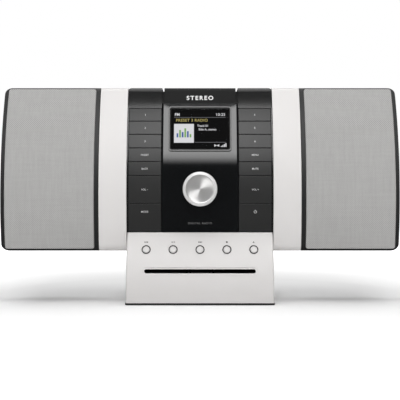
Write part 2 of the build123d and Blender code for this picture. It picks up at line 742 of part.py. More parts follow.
def make_grille_frame():
    """The stiff lattice that the cloth is stretched on."""
    outline = grille_prism(CLOTH_GAP)
    deep = behind_front(GRILLE_X0 - 1, GRILLE_X1 + 1, RECESS_DEPTH)
    skin = CLOTH_RECESS + CLOTH_THICKNESS
    frame = (outline & slab(GRILLE_X0, GRILLE_X1, skin)) - deep
    open_width = GRILLE_X1 - GRILLE_X0 - 2 * FRAME_BORDER + FRAME_RIB
    open_height = GRILLE_Z1 - GRILLE_Z0 - 2 * FRAME_BORDER + FRAME_RIB
    width = open_width / FRAME_COLUMNS - FRAME_RIB
    height = open_height / FRAME_ROWS - FRAME_RIB
    for column in range(FRAME_COLUMNS):
        for row in range(FRAME_ROWS):
            x = GRILLE_X0 + FRAME_BORDER + column * (width + FRAME_RIB)
            z = GRILLE_Z0 + FRAME_BORDER + row * (height + FRAME_RIB)
            frame -= upright_prism(
                x, x + width, z, z + height, BASE_FRONT_Y, SEAT_Y + 40, GRILLE_CORNER
            )
    return frame


def make_grille_cloth():
    """The cloth as a plain closed skin over the grille frame."""
    skin = CLOTH_RECESS + CLOTH_THICKNESS
    cloth = grille_prism(CLOTH_GAP) & shell(GRILLE_X0, GRILLE_X1, CLOTH_RECESS, skin)
    return cloth - behind_front(GRILLE_X0 - 1, GRILLE_X1 + 1, RECESS_DEPTH)


def turned(plane, points):
    """A solid of revolution about a plane's normal, from (radius, height) points."""
    face = make_face(Polyline(*points, close=True))
    upright = Plane(origin=plane.origin, x_dir=plane.x_dir, z_dir=-plane.y_dir)
    return revolve(upright * face, axis=Axis(plane.origin, plane.z_dir), revolution_arc=360)


COIL_TOP = BASKET_DEPTH - 6
PLATE_HOLE = COIL_RADIUS + COIL_GAP
POLE_RADIUS = COIL_RADIUS - COIL_WALL - COIL_GAP


def make_basket():
    """Flange, ribs and a rear ring that holds the magnet."""
    plate_low = BASKET_DEPTH - BASKET_PLATE
    flange = turned(
        driver_plane,
        [
            (CONE_HOLE_RADIUS, 0), (FLANGE_RADIUS, 0), (FLANGE_RADIUS, FLANGE_THICKNESS),
            (CONE_HOLE_RADIUS + 1, FLANGE_THICKNESS), (BASKET_RING_RADIUS, plate_low),
            (BASKET_RING_RADIUS, BASKET_DEPTH), (PLATE_HOLE, BASKET_DEPTH),
            (PLATE_HOLE, plate_low), (BASKET_RING_RADIUS - 2, plate_low), (CONE_HOLE_RADIUS, 1.5),
        ],
    )
    middle = driver_plane.offset((BASKET_DEPTH + 1) / 2).location
    for turn in range(4):
        opening = Box(CONE_HOLE_RADIUS, BASKET_WINDOW_WIDTH, BASKET_DEPTH - 3 * BASKET_PLATE)
        flange -= middle * Rot(0, 0, 45 + turn * 90) * Pos(CONE_HOLE_RADIUS, 0, 0) * opening
    for dx, dz in DRIVER_SCREWS:
        place = driver_plane.location * Pos(dx, dz, 0)
        flange -= post(Plane(place), -1, FLANGE_THICKNESS + 1, SCREW_RADIUS + SCREW_FIT)
    return flange


def make_magnet():
    """Ring magnet and back plate with its pole piece."""
    plate = BASKET_DEPTH + MAGNET_THICKNESS
    back = plate + MAGNET_BACK
    return turned(
        driver_plane,
        [
            (0, BASKET_DEPTH - 2), (POLE_RADIUS, BASKET_DEPTH - 2), (POLE_RADIUS, plate),
            (PLATE_HOLE + 4, plate), (PLATE_HOLE + 4, BASKET_DEPTH), (MAGNET_RADIUS, BASKET_DEPTH),
            (MAGNET_RADIUS, back), (0, back),
        ],
    )


def make_surround():
    """The half-roll between the cone and the flange."""
    inner = CONE_RADIUS + SURROUND_GAP
    outer = CONE_HOLE_RADIUS
    middle = (inner + outer) / 2
    reach = (outer - inner) / 2
    curve = ThreePointArc((inner, 0), (middle, -reach), (outer, 0))
    wall = SURROUND_THICKNESS
    under = ThreePointArc((outer - wall, 0), (middle, wall - reach), (inner + wall, 0))
    ends = Line((outer, 0), (outer - wall, 0)) + Line((inner + wall, 0), (inner, 0))
    face = make_face(curve + under + ends)
    upright = Plane(
        origin=driver_plane.origin, x_dir=driver_plane.x_dir, z_dir=-driver_plane.y_dir
    )
    axis = Axis(driver_plane.origin, driver_plane.z_dir)
    return revolve(upright * face, axis=axis, revolution_arc=360)


def make_cone():
    """Paper cone with its dust cap and voice coil, as one moving piece."""
    coil_inner = COIL_RADIUS - COIL_WALL
    return turned(
        driver_plane,
        [
            (0, COIL_TOP - 7), (6, COIL_TOP - 6), (DUST_CAP_RADIUS, COIL_TOP - 3),
            (CONE_RADIUS, 0), (CONE_RADIUS, 0.8), (COIL_RADIUS, COIL_TOP - 1.5),
            (COIL_RADIUS, BASKET_DEPTH + 4), (coil_inner, BASKET_DEPTH + 4),
            (coil_inner, COIL_TOP - 2), (6, COIL_TOP - 5.2), (0, COIL_TOP - 6.2),
        ],
    )


# ---- control insert
def make_carrier():
    """The dark tray behind the keys and the panels, with blank caps at its top."""
    carrier = shell(-CARRIER_HALF, CARRIER_HALF, 0, CARRIER_THICKNESS)
    flange = slab(CARRIER_HALF - WALL, CARRIER_HALF)
    carrier += flange + mirrored(flange)
    carrier -= block(-FAR, FAR, WEB_FRONT, FAR, 0, FAR)
    carrier -= block(-FAR, FAR, -FAR, FAR, 0, INSERT_BOTTOM)
    carrier &= upright_prism(
        -CARRIER_HALF, CARRIER_HALF, INSERT_BOTTOM - 2 * CORNER_ROUND, BODY_TOP,
        BASE_FRONT_Y, BASE_REAR_Y, CORNER_ROUND,
    )
    below = KEYS_BOTTOM_ANGLE - 3
    floor = FRONT_RADIUS - POCKET_DEPTH
    pocket_top = KEYS_TOP_ANGLE + GAP_ANGLE / 2
    pocket = arc_plate(PANEL_HALF, CARRIER_HALF - RIM_WIDTH, floor, OUTSIDE, below, pocket_top)
    carrier -= pocket
    carrier -= mirrored(pocket)
    seat = FRONT_RADIUS - PANEL_THICKNESS
    carrier -= arc_plate(-PANEL_HALF, PANEL_HALF, seat, OUTSIDE, below, HEADER_ANGLE)
    carrier -= header_space(0.0)
    notch = block(HEADER_HALF, KEY_INNER, -FAR, FAR, BODY_TOP - NOTCH_DEPTH, FAR)
    groove = arc_plate(HEADER_HALF, KEY_INNER, seat, OUTSIDE, HEADER_ANGLE, GROOVE_END_ANGLE)
    for cut in both_sides(notch + groove):
        carrier -= cut
    carrier -= tablet(display_plane, -DEEP, PAST, BEZEL_WIDTH, BEZEL_HEIGHT, BEZEL_ROUND)
    carrier -= post(knob_plane, -DEEP, PAST, BUSH_RADIUS + SCREW_FIT)
    for low, high in key_angles():
        for x in (-KEY_X, KEY_X):
            plane = front_plane(x, (low + high) / 2)
            carrier -= post(plane, -DEEP, 0, STEM_RADIUS + TOUCH_GAP)
    return carrier


def header_space(gap):
    """The header strip's own volume, drawn in by gap at its sides."""
    half = HEADER_HALF - gap
    strip = shell(-half, half, 0, HEADER_THICKNESS)
    top_depth = SPLIT_Y - front_y(BODY_TOP)
    strip -= block(-FAR, FAR, SPLIT_Y - top_depth * (1 - HEADER_TOP_SHARE), FAR, 0, FAR)
    below = arc_plate(-FAR, FAR, FRONT_RADIUS - BODY_DEPTH, OUTSIDE, -GROOVE_END_ANGLE, HEADER_ANGLE)
    return strip - below


def make_control_panel():
    """The glossy curved centre panel with bevelled sides."""
    low = arc_angle(INSERT_BOTTOM)
    panel = arc_plate(
        -PANEL_HALF, PANEL_HALF, FRONT_RADIUS - PANEL_THICKNESS, FRONT_RADIUS,
        low, HEADER_ANGLE,
    )
    front = panel.faces().filter_by(GeomType.CYLINDER).sort_by(Axis.Y)[0]
    long_edges = [edge for edge in front.edges() if abs(abs(edge.center().X) - PANEL_HALF) < 1e-3]
    panel = chamfer(long_edges, PANEL_BEVEL, PANEL_BEVEL_DEPTH, reference=front)
    panel -= tablet(display_plane, -DEEP, PAST, BEZEL_WIDTH, BEZEL_HEIGHT, BEZEL_ROUND)
    panel -= post(knob_plane, -DEEP, PAST, BUSH_RADIUS + SCREW_FIT)
    return panel


def make_bezel():
    """A flat ring with a bevelled inner edge, proud of the curved panel."""
    ring = tablet(display_plane, -BEZEL_BACK, BEZEL_PROUD, BEZEL_WIDTH, BEZEL_HEIGHT, BEZEL_ROUND)
    ring -= tablet(display_plane, -DEEP, PAST, WINDOW_WIDTH, WINDOW_HEIGHT, WINDOW_CORNER)
    inner_edges = []
    for edge in ring.edges():
        spot = display_plane.to_local_coords(edge.position_at(0.5))
        inside = abs(spot.X) <= WINDOW_WIDTH / 2 + 1e-3
        inside = inside and abs(spot.Y) <= WINDOW_HEIGHT / 2 + 1e-3
        if inside and abs(spot.Z - BEZEL_PROUD) < 1e-3:
            inner_edges.append(edge)
    return chamfer(inner_edges, BEZEL_BORDER / 2)


def make_window():
    """The clear window over the display."""
    width = WINDOW_WIDTH - 2 * SCREW_FIT
    height = WINDOW_HEIGHT - 2 * SCREW_FIT
    back = -WINDOW_RECESS - WINDOW_THICKNESS
    return tablet(display_plane, back, -WINDOW_RECESS, width, height, WINDOW_CORNER - SCREW_FIT)


def make_display_module():
    """The display with its mounting plate behind the carrier."""
    front = -WINDOW_RECESS - WINDOW_THICKNESS
    half = BEZEL_HEIGHT / 2 + MODULE_LIP
    plate_front = -CARRIER_THICKNESS - half**2 / (2 * CARRIER_BACK_RADIUS) - SEAT_GAP
    width = WINDOW_WIDTH - 2 * MODULE_GAP
    height = WINDOW_HEIGHT - 2 * MODULE_GAP
    module = tablet(display_plane, plate_front, front, width, height, WINDOW_CORNER)
    plate_back = plate_front - MODULE_PLATE
    plate_width = BEZEL_WIDTH + 2 * MODULE_LIP
    plate = tablet(display_plane, plate_back, plate_front, plate_width, 2 * half, BEZEL_ROUND)
    return module + plate


def make_key(x, low, high):
    """A curved key cap with a stem that ends just before its switch."""
    plate = arc_plate(
        KEY_INNER, KEY_OUTER, FRONT_RADIUS - KEY_THICKNESS, FRONT_RADIUS, low, high
    )
    plate = fillet(plate.edges().filter_by(on_front), KEY_EDGE_ROUND)
    plane = front_plane(KEY_X, (low + high) / 2)
    stem = post(plane, -DEEP, -KEY_THICKNESS / 2, STEM_RADIUS)
    reach = SWITCH_HEIGHT + PLUNGER_HEIGHT + KEY_TRAVEL + SWITCH_CLEARANCE
    stem &= front_of_board(reach)
    key = plate + stem
    return key if x > 0 else mirrored(key)


def make_key_board():
    """The key board and its tact switches."""
    angles = key_angles()
    height = radians(angles[0][1] - angles[-1][0]) * (FRONT_RADIUS - BOARD_SETBACK)
    face = Rectangle(2 * (KEY_OUTER - BOARD_MARGIN), height - BOARD_MARGIN)
    board = extrude(board_plane * face, amount=-BOARD_THICKNESS)
    solids = [board]
    for low_angle, high_angle in angles:
        for x in (-KEY_X, KEY_X):
            plane = front_plane(x, (low_angle + high_angle) / 2)
            spot = plane.origin + plane.z_dir * board_distance(plane)
            place = Plane(origin=spot, x_dir=(1, 0, 0), z_dir=board_plane.z_dir)
            switch = extrude(place * Rectangle(SWITCH_SIZE, SWITCH_SIZE), amount=SWITCH_HEIGHT)
            switch += post(place, 0, SWITCH_HEIGHT + PLUNGER_HEIGHT, PLUNGER_RADIUS)
            solids.append(switch)
    return solids


# ---- knob and encoder
def make_knob_cap():
    """The turned knob: bevelled rim, slightly sunk face, hollow back and a boss."""
    top = KNOB_GAP + KNOB_HEIGHT
    dish = top - KNOB_DISH
    inside = top - KNOB_CAP_THICKNESS
    hollow = KNOB_RADIUS - KNOB_WALL
    boss = 2 * SHAFT_RADIUS
    return turned(
        knob_plane,
        [
            (0, dish), (KNOB_FACE_RADIUS - 0.6, dish), (KNOB_FACE_RADIUS, top),
            (KNOB_RADIUS, top - KNOB_BEVEL), (KNOB_RADIUS, KNOB_GAP + 0.5),
            (KNOB_RADIUS - 0.5, KNOB_GAP), (hollow, KNOB_GAP), (hollow, inside),
            (boss, inside), (boss, KNOB_GAP + 1), (SHAFT_RADIUS, KNOB_GAP + 1),
            (SHAFT_RADIUS, inside), (0, inside),
        ],
    )


ENCODER_FRONT = -CARRIER_THICKNESS - ENCODER_HALF**2 / (2 * CARRIER_BACK_RADIUS) - SEAT_GAP
ENCODER_BACK = ENCODER_FRONT - ENCODER_DEPTH
ROTOR_FRONT = ENCODER_FRONT - 1.4


def make_encoder_shaft():
    end = ROTOR_FRONT - ROTOR_LENGTH + 0.2
    return post(knob_plane, end, KNOB_GAP + KNOB_HEIGHT - KNOB_CAP_THICKNESS, SHAFT_RADIUS)


def make_encoder_rotor():
    rotor = post(knob_plane, ROTOR_FRONT - ROTOR_LENGTH, ROTOR_FRONT, ROTOR_RADIUS)
    return rotor - post(knob_plane, -FAR, FAR, SHAFT_RADIUS + SHAFT_FIT)


def make_encoder_body():
    """A square body with a threaded bush that passes the carrier and the panel."""
    body = tablet(
        knob_plane, ENCODER_BACK, ENCODER_FRONT, 2 * ENCODER_HALF, 2 * ENCODER_HALF, 1.0
    )
    body += post(knob_plane, ENCODER_FRONT - 0.5, -0.5, BUSH_RADIUS)
    rotor_end = ROTOR_FRONT - ROTOR_LENGTH
    body -= post(knob_plane, rotor_end - 0.3, ROTOR_FRONT + 0.3, ROTOR_RADIUS + SHAFT_FIT)
    bore_end = rotor_end - KNOB_PUSH - 0.2
    body -= post(knob_plane, bore_end, PAST, SHAFT_RADIUS + SHAFT_FIT)
    return body


# ---- base
def base_front_outline(inset):
    """The base front's side outline: a curved face closed by a flat back."""
    low = BASE_PANEL_BOTTOM - (1 if inset else 0)
    high = BASE_PANEL_TOP - inset
    back = BASE_FRONT_Y + BASE_FRONT_DEPTH + (1 if inset else 0)
    middle = (low + high) / 2
    curve = ThreePointArc(
        (base_front_y(low, inset), low),
        (base_front_y(middle, inset), middle),
        (base_front_y(high, inset), high),
    )
    rest = Polyline(
        (base_front_y(high, inset), high), (back, high), (back, low), (base_front_y(low, inset), low)
    )
    return make_face(curve + rest)


button_planes = [base_plane((place - 2) * BUTTON_PITCH, BUTTON_Z) for place in range(5)]
RING_BACK = -3.0
BUTTON_BACK = -8.0
DISC_BOARD_FRONT = (
    BUTTON_BACK - BUTTON_TRAVEL - SWITCH_CLEARANCE - SWITCH_HEIGHT - PLUNGER_HEIGHT
)
BASE_BACK_Y = BASE_FRONT_Y + BASE_FRONT_DEPTH


def make_base_front():
    """The white curved front of the base, with its slot and button holes."""
    outline = Plane.YZ.offset(-BASE_HALF) * base_front_outline(0)
    front = extrude(outline, amount=2 * BASE_HALF)
    front_edges = []
    for edge in front.edges():
        spot = edge.position_at(0.5)
        at_side = abs(abs(spot.X) - BASE_HALF) < 1e-3
        if at_side and abs(spot.Y - base_front_y(spot.Z)) < 1e-3:
            front_edges.append(edge)
    front = fillet(front_edges, BASE_EDGE_ROUND)
    inner = BASE_HALF - WALL
    front -= extrude(Plane.YZ.offset(-inner) * base_front_outline(WALL), amount=2 * inner)
    for x in (-BASE_HALF + SUPPORT_INSET, BASE_HALF - SUPPORT_INSET):
        front += post(base_plane(x, BUTTON_Z), DISC_BOARD_FRONT, -1, SUPPORT_RADIUS)
    half_slot = SLOT_LENGTH / 2
    half_height = SLOT_HEIGHT / 2
    front -= upright_slot(
        -half_slot, half_slot, SLOT_Z - half_height, SLOT_Z + half_height,
        BASE_FRONT_Y - 5, BASE_BACK_Y + 5,
    )
    recess_plane = base_plane(0, SLOT_Z).offset(-SLOT_RECESS_DEPTH)
    front -= extrude(recess_plane * SlotOverall(RECESS_LENGTH, RECESS_HEIGHT), amount=PAST)
    for plane in button_planes:
        front -= post(plane, -PAST, PAST, RING_RADIUS)
    return front


def make_base_shell():
    """The white cover of the base, open at its bottom and front."""
    y_middle = (BASE_BACK_Y + BASE_REAR_Y) / 2
    depth = BASE_REAR_Y - BASE_BACK_Y
    outline = Pos(0, y_middle, 0) * Rectangle(2 * BASE_HALF, depth)
    rear_corners = outline.vertices().group_by(Axis.Y)[-1]
    outline = fillet(rear_corners, BASE_REAR_ROUND)
    height = BODY_BOTTOM - BASE_PANEL_BOTTOM
    cover = extrude(Pos(0, 0, BASE_PANEL_BOTTOM) * outline, amount=height)
    inside = Pos(0, y_middle - WALL, 0) * Rectangle(2 * (BASE_HALF - WALL), depth)
    inside = fillet(inside.vertices().group_by(Axis.Y)[-1], BASE_REAR_ROUND - WALL)
    cover -= extrude(inside, amount=BODY_BOTTOM - WALL)
    for x, y in BASE_SCREWS:
        cover += rod_z(x, y, BASE_BOSS_LOW, BODY_BOTTOM - 1, BASE_BOSS_RADIUS)
    for plane in base_screw_planes():
        cover -= post(plane, -SCREW_LENGTH - 1, 1, SCREW_RADIUS + SCREW_FIT)
    return cover


def make_base_plate():
    """The dark bottom plate, a little wider than the shell above it."""
    half = BASE_HALF + PLATE_OVERHANG
    outline = Rectangle(2 * half, BASE_DEPTH)
    outline = fillet(outline.vertices().group_by(Axis.Y)[-1], BASE_REAR_ROUND)
    outline = fillet(outline.vertices().group_by(Axis.Y)[0], BASE_EDGE_ROUND)
    plate = extrude(Pos(0, 0, PLATE_BOTTOM) * outline, amount=BASE_PANEL_BOTTOM - PLATE_BOTTOM)
    for x, y in BASE_SCREWS:
        plate += rod_z(x, y, PLATE_BOTTOM, BASE_BOSS_LOW, BASE_BOSS_RADIUS)
    for plane in base_screw_planes():
        plate -= post(plane, -PAST, PAST, SCREW_RADIUS + SCREW_FIT)
        plate -= post(plane, 0, PAST, SCREW_SEAT_RADIUS)
    for x, y in FOOT_SPOTS:
        plate -= rod_z(x, y, -PAST, FOOT_HEIGHT, FOOT_RADIUS)
    return plate


FOOT_X = BASE_HALF - 24.0
FOOT_Y = BASE_REAR_Y - 16.0
FOOT_SPOTS = [(sx * FOOT_X, sy * FOOT_Y) for sx in (-1, 1) for sy in (-1, 1)]


def make_rubber_feet():
    return [rod_z(x, y, 0, FOOT_HEIGHT, FOOT_RADIUS) for x, y in FOOT_SPOTS]


def make_button_rings():
    rings = []
    for plane in button_planes:
        ring = post(plane, RING_BACK, RING_PROUD, RING_RADIUS)
        ring -= post(plane, -PAST, PAST, RING_RADIUS - RING_WALL)
        rings.append(ring)
    return rings


def make_disc_button(plane):
    """A slightly domed plunger with a collar that keeps it behind its ring."""
    radius = BUTTON_RADIUS
    return turned(
        plane,
        [
            (0, 0.9), (radius * 0.6, 0.8), (radius, 0.3), (radius, RING_BACK - 0.8),
            (radius + 0.7, RING_BACK - 0.8), (radius + 0.7, RING_BACK - 2.2),
            (2.0, RING_BACK - 2.2), (2.0, BUTTON_BACK), (0, BUTTON_BACK),
        ],
    )


def make_disc_button_board():
    """The board behind the disc buttons, with five tact switches."""
    middle = base_plane(0, BUTTON_Z)
    face = Rectangle(2 * (BASE_HALF - DISC_BOARD_INSET), DISC_BOARD_HEIGHT)
    solids = [extrude(middle.offset(DISC_BOARD_FRONT) * face, amount=-BOARD_THICKNESS)]
    for plane in button_planes:
        place = plane.offset(DISC_BOARD_FRONT)
        switch = extrude(place * Rectangle(SWITCH_SIZE, SWITCH_SIZE), amount=SWITCH_HEIGHT)
        switch += post(place, 0, SWITCH_HEIGHT + PLUNGER_HEIGHT, PLUNGER_RADIUS)
        solids.append(switch)
    return solids


# ---- disc drive
RAIL_INNER = DISC_RADIUS + RAIL_GAP
RAIL_OUTER = RAIL_INNER + RAIL_WIDTH
DECK_TOP = DECK_Z + DECK_THICKNESS
PATH_LOW = SLOT_Z - PATH_HALF_HEIGHT
DECK_FRONT_Y = BASE_FRONT_Y + 10.5
DECK_REAR_Y = BASE_REAR_Y - WALL - 1
ROLLER_Y = DECK_FRONT_Y + 6
ROLLER_Z = PATH_LOW - ROLLER_RADIUS - 0.3
ROD_Z = DECK_TOP + 4.5
SLED_START_Y = DECK_REAR_Y - LUG_THICKNESS - SLED_TRAVEL - SLED_LENGTH
ROD_FRONT_Y = SLED_START_Y - LUG_THICKNESS
LENS_Y = SLED_START_Y + LENS_SETBACK
HUB_TOP = PATH_LOW - 0.3
TABLE_TOP = HUB_TOP - 0.9
TABLE_LOW = TABLE_TOP - 2.6
MOTOR_TOP = TABLE_LOW - 0.8
MOTOR_RADIUS = 11.0


def make_cd_chassis():
    """Deck, side rails, top bridge and legs around the disc's path."""
    chassis = block(-RAIL_OUTER, RAIL_OUTER, DECK_FRONT_Y + 4, DECK_REAR_Y, DECK_Z, DECK_TOP)
    rail_top = SLOT_Z + PATH_HALF_HEIGHT + 4
    for side in (-1, 1):
        x0, x1 = sorted((side * RAIL_INNER, side * RAIL_OUTER))
        chassis += block(x0, x1, DECK_FRONT_Y, DECK_REAR_Y, DECK_Z, rail_top)
    chassis += block(-RAIL_OUTER, RAIL_OUTER, -18, 22, rail_top - 2, rail_top)
    for x in (-RAIL_OUTER + 8, RAIL_OUTER - 8):
        for y in (DECK_FRONT_Y + 22, DECK_REAR_Y - 12):
            chassis += rod_z(x, y, BASE_PANEL_BOTTOM, DECK_Z + 1, 4.0)
    for x in (-ROD_SPACING / 2, ROD_SPACING / 2):
        for y in (ROD_FRONT_Y, DECK_REAR_Y - LUG_THICKNESS):
            chassis += block(x - 3, x + 3, y, y + LUG_THICKNESS, DECK_TOP - 1, ROD_Z + 3)
        chassis -= rod_y(x, ROD_FRONT_Y - 1, DECK_REAR_Y + 1, ROD_Z, ROD_RADIUS)
    bore = ROLLER_SHAFT_RADIUS + SHAFT_FIT
    chassis -= rod_x(-RAIL_OUTER - 1, RAIL_OUTER + 1, ROLLER_Y, ROLLER_Z, bore)
    return chassis


def make_cd_motors():
    """Spindle, sled and loading motors."""
    spindle = rod_z(0, 0, DECK_TOP, MOTOR_TOP, MOTOR_RADIUS)
    spindle -= rod_z(0, 0, DECK_TOP - 1, MOTOR_TOP + 1, SPINDLE_RADIUS + SHAFT_FIT)
    sled = rod_y(38, 16, 40, DECK_Z - 6, 6.0)
    loading = rod_x(-58, -34, -30, DECK_Z - 6, 6.0)
    return [spindle, sled, loading]


def make_turntable():
    """Platter with a snap-on hub and its spindle."""
    table = turned(
        Plane.XY,
        [
            (0, HUB_TOP), (HUB_RADIUS - 1, HUB_TOP), (HUB_RADIUS, TABLE_TOP),
            (TURNTABLE_RADIUS, TABLE_TOP), (TURNTABLE_RADIUS, TABLE_LOW),
            (SPINDLE_RADIUS, TABLE_LOW), (SPINDLE_RADIUS, DECK_TOP + 1.5), (0, DECK_TOP + 1.5),
        ],
    )
    return table


def make_laser_sled():
    """The pick-up block with its lens, bored for the two guide rods."""
    start = SLED_START_Y
    sled = block(-17, 17, start, start + SLED_LENGTH, DECK_TOP + 1, ROD_Z + 3)
    sled += rod_z(0, LENS_Y, ROD_Z + 2, PATH_LOW - 0.8, 3.0)
    for x in (-ROD_SPACING / 2, ROD_SPACING / 2):
        sled -= rod_y(x, start - 1, start + SLED_LENGTH + 1, ROD_Z, ROD_RADIUS + SHAFT_FIT)
    return sled


def make_guide_rods():
    rods = []
    for x in (-ROD_SPACING / 2, ROD_SPACING / 2):
        rods.append(rod_y(x, ROD_FRONT_Y, DECK_REAR_Y, ROD_Z, ROD_RADIUS))
    return rods


def make_loading_roller():
    roller = rod_x(-DISC_RADIUS, DISC_RADIUS, ROLLER_Y, ROLLER_Z, ROLLER_RADIUS)
    return roller + rod_x(-RAIL_OUTER, RAIL_OUTER, ROLLER_Y, ROLLER_Z, ROLLER_SHAFT_RADIUS)


# ---- aerial
AERIAL_Z = BODY_TOP - AERIAL_DROP
AERIAL_BASE_Y = rear_y(AERIAL_Z) + 3.0
AERIAL_Y = AERIAL_BASE_Y + 8.0
EAR_INNER = AERIAL_RADII[0] + 0.4
EAR_OUTER = EAR_INNER + 2.0
EAR_RADIUS = 4.2
KNUCKLE_RADIUS = 3.6
AERIAL_START = AERIAL_X + 6.0


def make_antenna_swivel():
    """A disc on a pin, with a fork that carries the hinge pin."""
    disc_low = AERIAL_BASE_Y + 0.2
    disc_high = AERIAL_Y - EAR_RADIUS - 0.3
    swivel = rod_y(AERIAL_X, AERIAL_BASE_Y - 8, disc_low + 1, AERIAL_Z, 2.0)
    swivel += rod_y(AERIAL_X, disc_low, disc_high, AERIAL_Z, 6.5)
    for side in (-1, 1):
        z0, z1 = sorted((AERIAL_Z + side * EAR_INNER, AERIAL_Z + side * EAR_OUTER))
        ear = rod_z(AERIAL_X, AERIAL_Y, z0, z1, EAR_RADIUS)
        ear += block(
            AERIAL_X - EAR_RADIUS, AERIAL_X + EAR_RADIUS, disc_high - 1, AERIAL_Y, z0, z1
        )
        swivel += ear
    return swivel + rod_z(
        AERIAL_X, AERIAL_Y, AERIAL_Z - EAR_OUTER, AERIAL_Z + EAR_OUTER, PIVOT_RADIUS
    )


def make_antenna_lower():
    """The lower tube with its knuckle."""
    end = AERIAL_START + AERIAL_LENGTH
    knuckle_half = EAR_INNER - 0.15
    tube = rod_x(AERIAL_X + 2.5, end, AERIAL_Y, AERIAL_Z, AERIAL_RADII[0])
    tube += rod_z(
        AERIAL_X, AERIAL_Y, AERIAL_Z - knuckle_half, AERIAL_Z + knuckle_half, KNUCKLE_RADIUS
    )
    tube -= rod_z(AERIAL_X, AERIAL_Y, AERIAL_Z - 9, AERIAL_Z + 9, PIVOT_RADIUS + SHAFT_FIT)
    bore = AERIAL_RADII[1] + AERIAL_FIT
    return tube - rod_x(AERIAL_START, end + 1, AERIAL_Y, AERIAL_Z, bore)


def make_antenna_middle():
    start = AERIAL_START + 1.0
    end = start + AERIAL_LENGTH
    tube = rod_x(start, end, AERIAL_Y, AERIAL_Z, AERIAL_RADII[1])
    bore = AERIAL_RADII[2] + AERIAL_FIT
    return tube - rod_x(start + 1, end + 1, AERIAL_Y, AERIAL_Z, bore)


def make_antenna_tip():
    start = AERIAL_START + 3.0
    end = start + AERIAL_LENGTH
    tip = rod_x(start, end, AERIAL_Y, AERIAL_Z, AERIAL_RADII[2])
    return tip + rod_x(end - 0.5, end + 5, AERIAL_Y, AERIAL_Z, AERIAL_RADII[0])


# ---- write every node
save("front_frame", make_front_frame())
save("rear_cover", make_rear_cover())
save("rear_sockets", *make_rear_sockets())
save("main_board", *make_main_board())

cabinet = make_cabinet()
grille_cloth = make_grille_cloth()
cone = make_cone()
save("right_cabinet", cabinet)
save("left_cabinet", mirrored(cabinet))
save("right_grille_cloth", grille_cloth)
save("left_grille_cloth", mirrored(grille_cloth))
save("grille_frames", *both_sides(make_grille_frame()))
save("driver_baskets", *both_sides(make_basket()))
save("driver_magnets", *both_sides(make_magnet()))
save("cone_surrounds", *both_sides(make_surround()))
save("right_cone", cone)
save("left_cone", mirrored(cone))

save("control_carrier", make_carrier())
save("header_panel", header_space(TOUCH_GAP / 2))
save("control_panel", make_control_panel())
save("display_bezel", make_bezel())
save("display_window", make_window())
save("display_module", make_display_module())
for (low_angle, high_angle), left_name, right_name in zip(key_angles(), LEFT_KEYS, RIGHT_KEYS):
    save(f"key_{left_name}", make_key(-KEY_X, low_angle, high_angle))
    save(f"key_{right_name}", make_key(KEY_X, low_angle, high_angle))
save("switch_boards", *make_key_board(), *make_disc_button_board())
save("knob_cap", make_knob_cap())
save("encoder_shaft", make_encoder_shaft())
save("encoder_rotor", make_encoder_rotor())
save("encoder_body", make_encoder_body())

save("base_front", make_base_front())
save("base_shell", make_base_shell())
save("base_plate", make_base_plate())
save("rubber_feet", *make_rubber_feet())
save("button_rings", *make_button_rings())
for name, plane in zip(DISC_BUTTONS, button_planes):
    save(f"disc_button_{name}", make_disc_button(plane))
save("cd_chassis", make_cd_chassis())
save("cd_motors", *make_cd_motors())
save("guide_rods", *make_guide_rods())
save("turntable", make_turntable())
save("laser_sled", make_laser_sled())
save("loading_roller", make_loading_roller())

save("antenna_swivel", make_antenna_swivel())
save("antenna_lower", make_antenna_lower())
save("antenna_middle", make_antenna_middle())
save("antenna_tip", make_antenna_tip())

driver_screws = []
for dx, dz in DRIVER_SCREWS:
    place = Plane(driver_plane.location * Pos(dx, dz, FLANGE_THICKNESS))
    driver_screws.extend(both_sides(screw(place, DRIVER_SCREW_LENGTH)))
rear_screws = [screw(plane) for plane in rear_screw_planes()]
base_screws = [screw(plane) for plane in base_screw_planes()]
save("screws", *rear_screws, *base_screws, *driver_screws)
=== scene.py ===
import json
from math import asin, cos, pi, radians, sin, sqrt, tan

import bmesh
import bpy
from mathutils import Matrix, Vector


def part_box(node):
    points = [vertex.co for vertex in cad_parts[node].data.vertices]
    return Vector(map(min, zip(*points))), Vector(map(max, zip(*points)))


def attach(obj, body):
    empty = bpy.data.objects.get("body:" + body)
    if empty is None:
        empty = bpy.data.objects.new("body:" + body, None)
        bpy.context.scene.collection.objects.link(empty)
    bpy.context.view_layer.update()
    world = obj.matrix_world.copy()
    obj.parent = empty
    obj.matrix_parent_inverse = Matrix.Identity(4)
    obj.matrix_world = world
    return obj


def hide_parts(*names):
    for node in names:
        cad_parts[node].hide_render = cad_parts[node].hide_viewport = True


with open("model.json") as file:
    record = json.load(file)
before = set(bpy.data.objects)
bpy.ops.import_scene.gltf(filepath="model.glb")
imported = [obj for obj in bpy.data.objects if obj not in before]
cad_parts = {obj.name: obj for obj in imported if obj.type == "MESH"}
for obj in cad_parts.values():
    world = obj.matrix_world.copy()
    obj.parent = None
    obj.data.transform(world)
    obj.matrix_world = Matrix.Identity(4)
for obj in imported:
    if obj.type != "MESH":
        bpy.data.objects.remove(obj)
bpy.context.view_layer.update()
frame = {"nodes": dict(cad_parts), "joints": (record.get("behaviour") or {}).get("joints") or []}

# Everything is in metres, in the frame's own axes: +X to the viewer's right, +Y back, +Z up.
MM = 0.001


def middle_of(node):
    low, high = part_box(node)
    return (low + high) / 2


def size_of(node):
    low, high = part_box(node)
    return high - low


def add_object(name, data):
    """A new object, linked into the scene."""
    made = bpy.data.objects.new(name, data)
    bpy.context.collection.objects.link(made)
    return made


# ---- the body's front cylinder, which every front piece follows
FRONT_RADIUS = 320 * MM
APEX_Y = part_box("right_cabinet")[0].y
ARC_Y = APEX_Y + FRONT_RADIUS
APEX_Z = 121 * MM


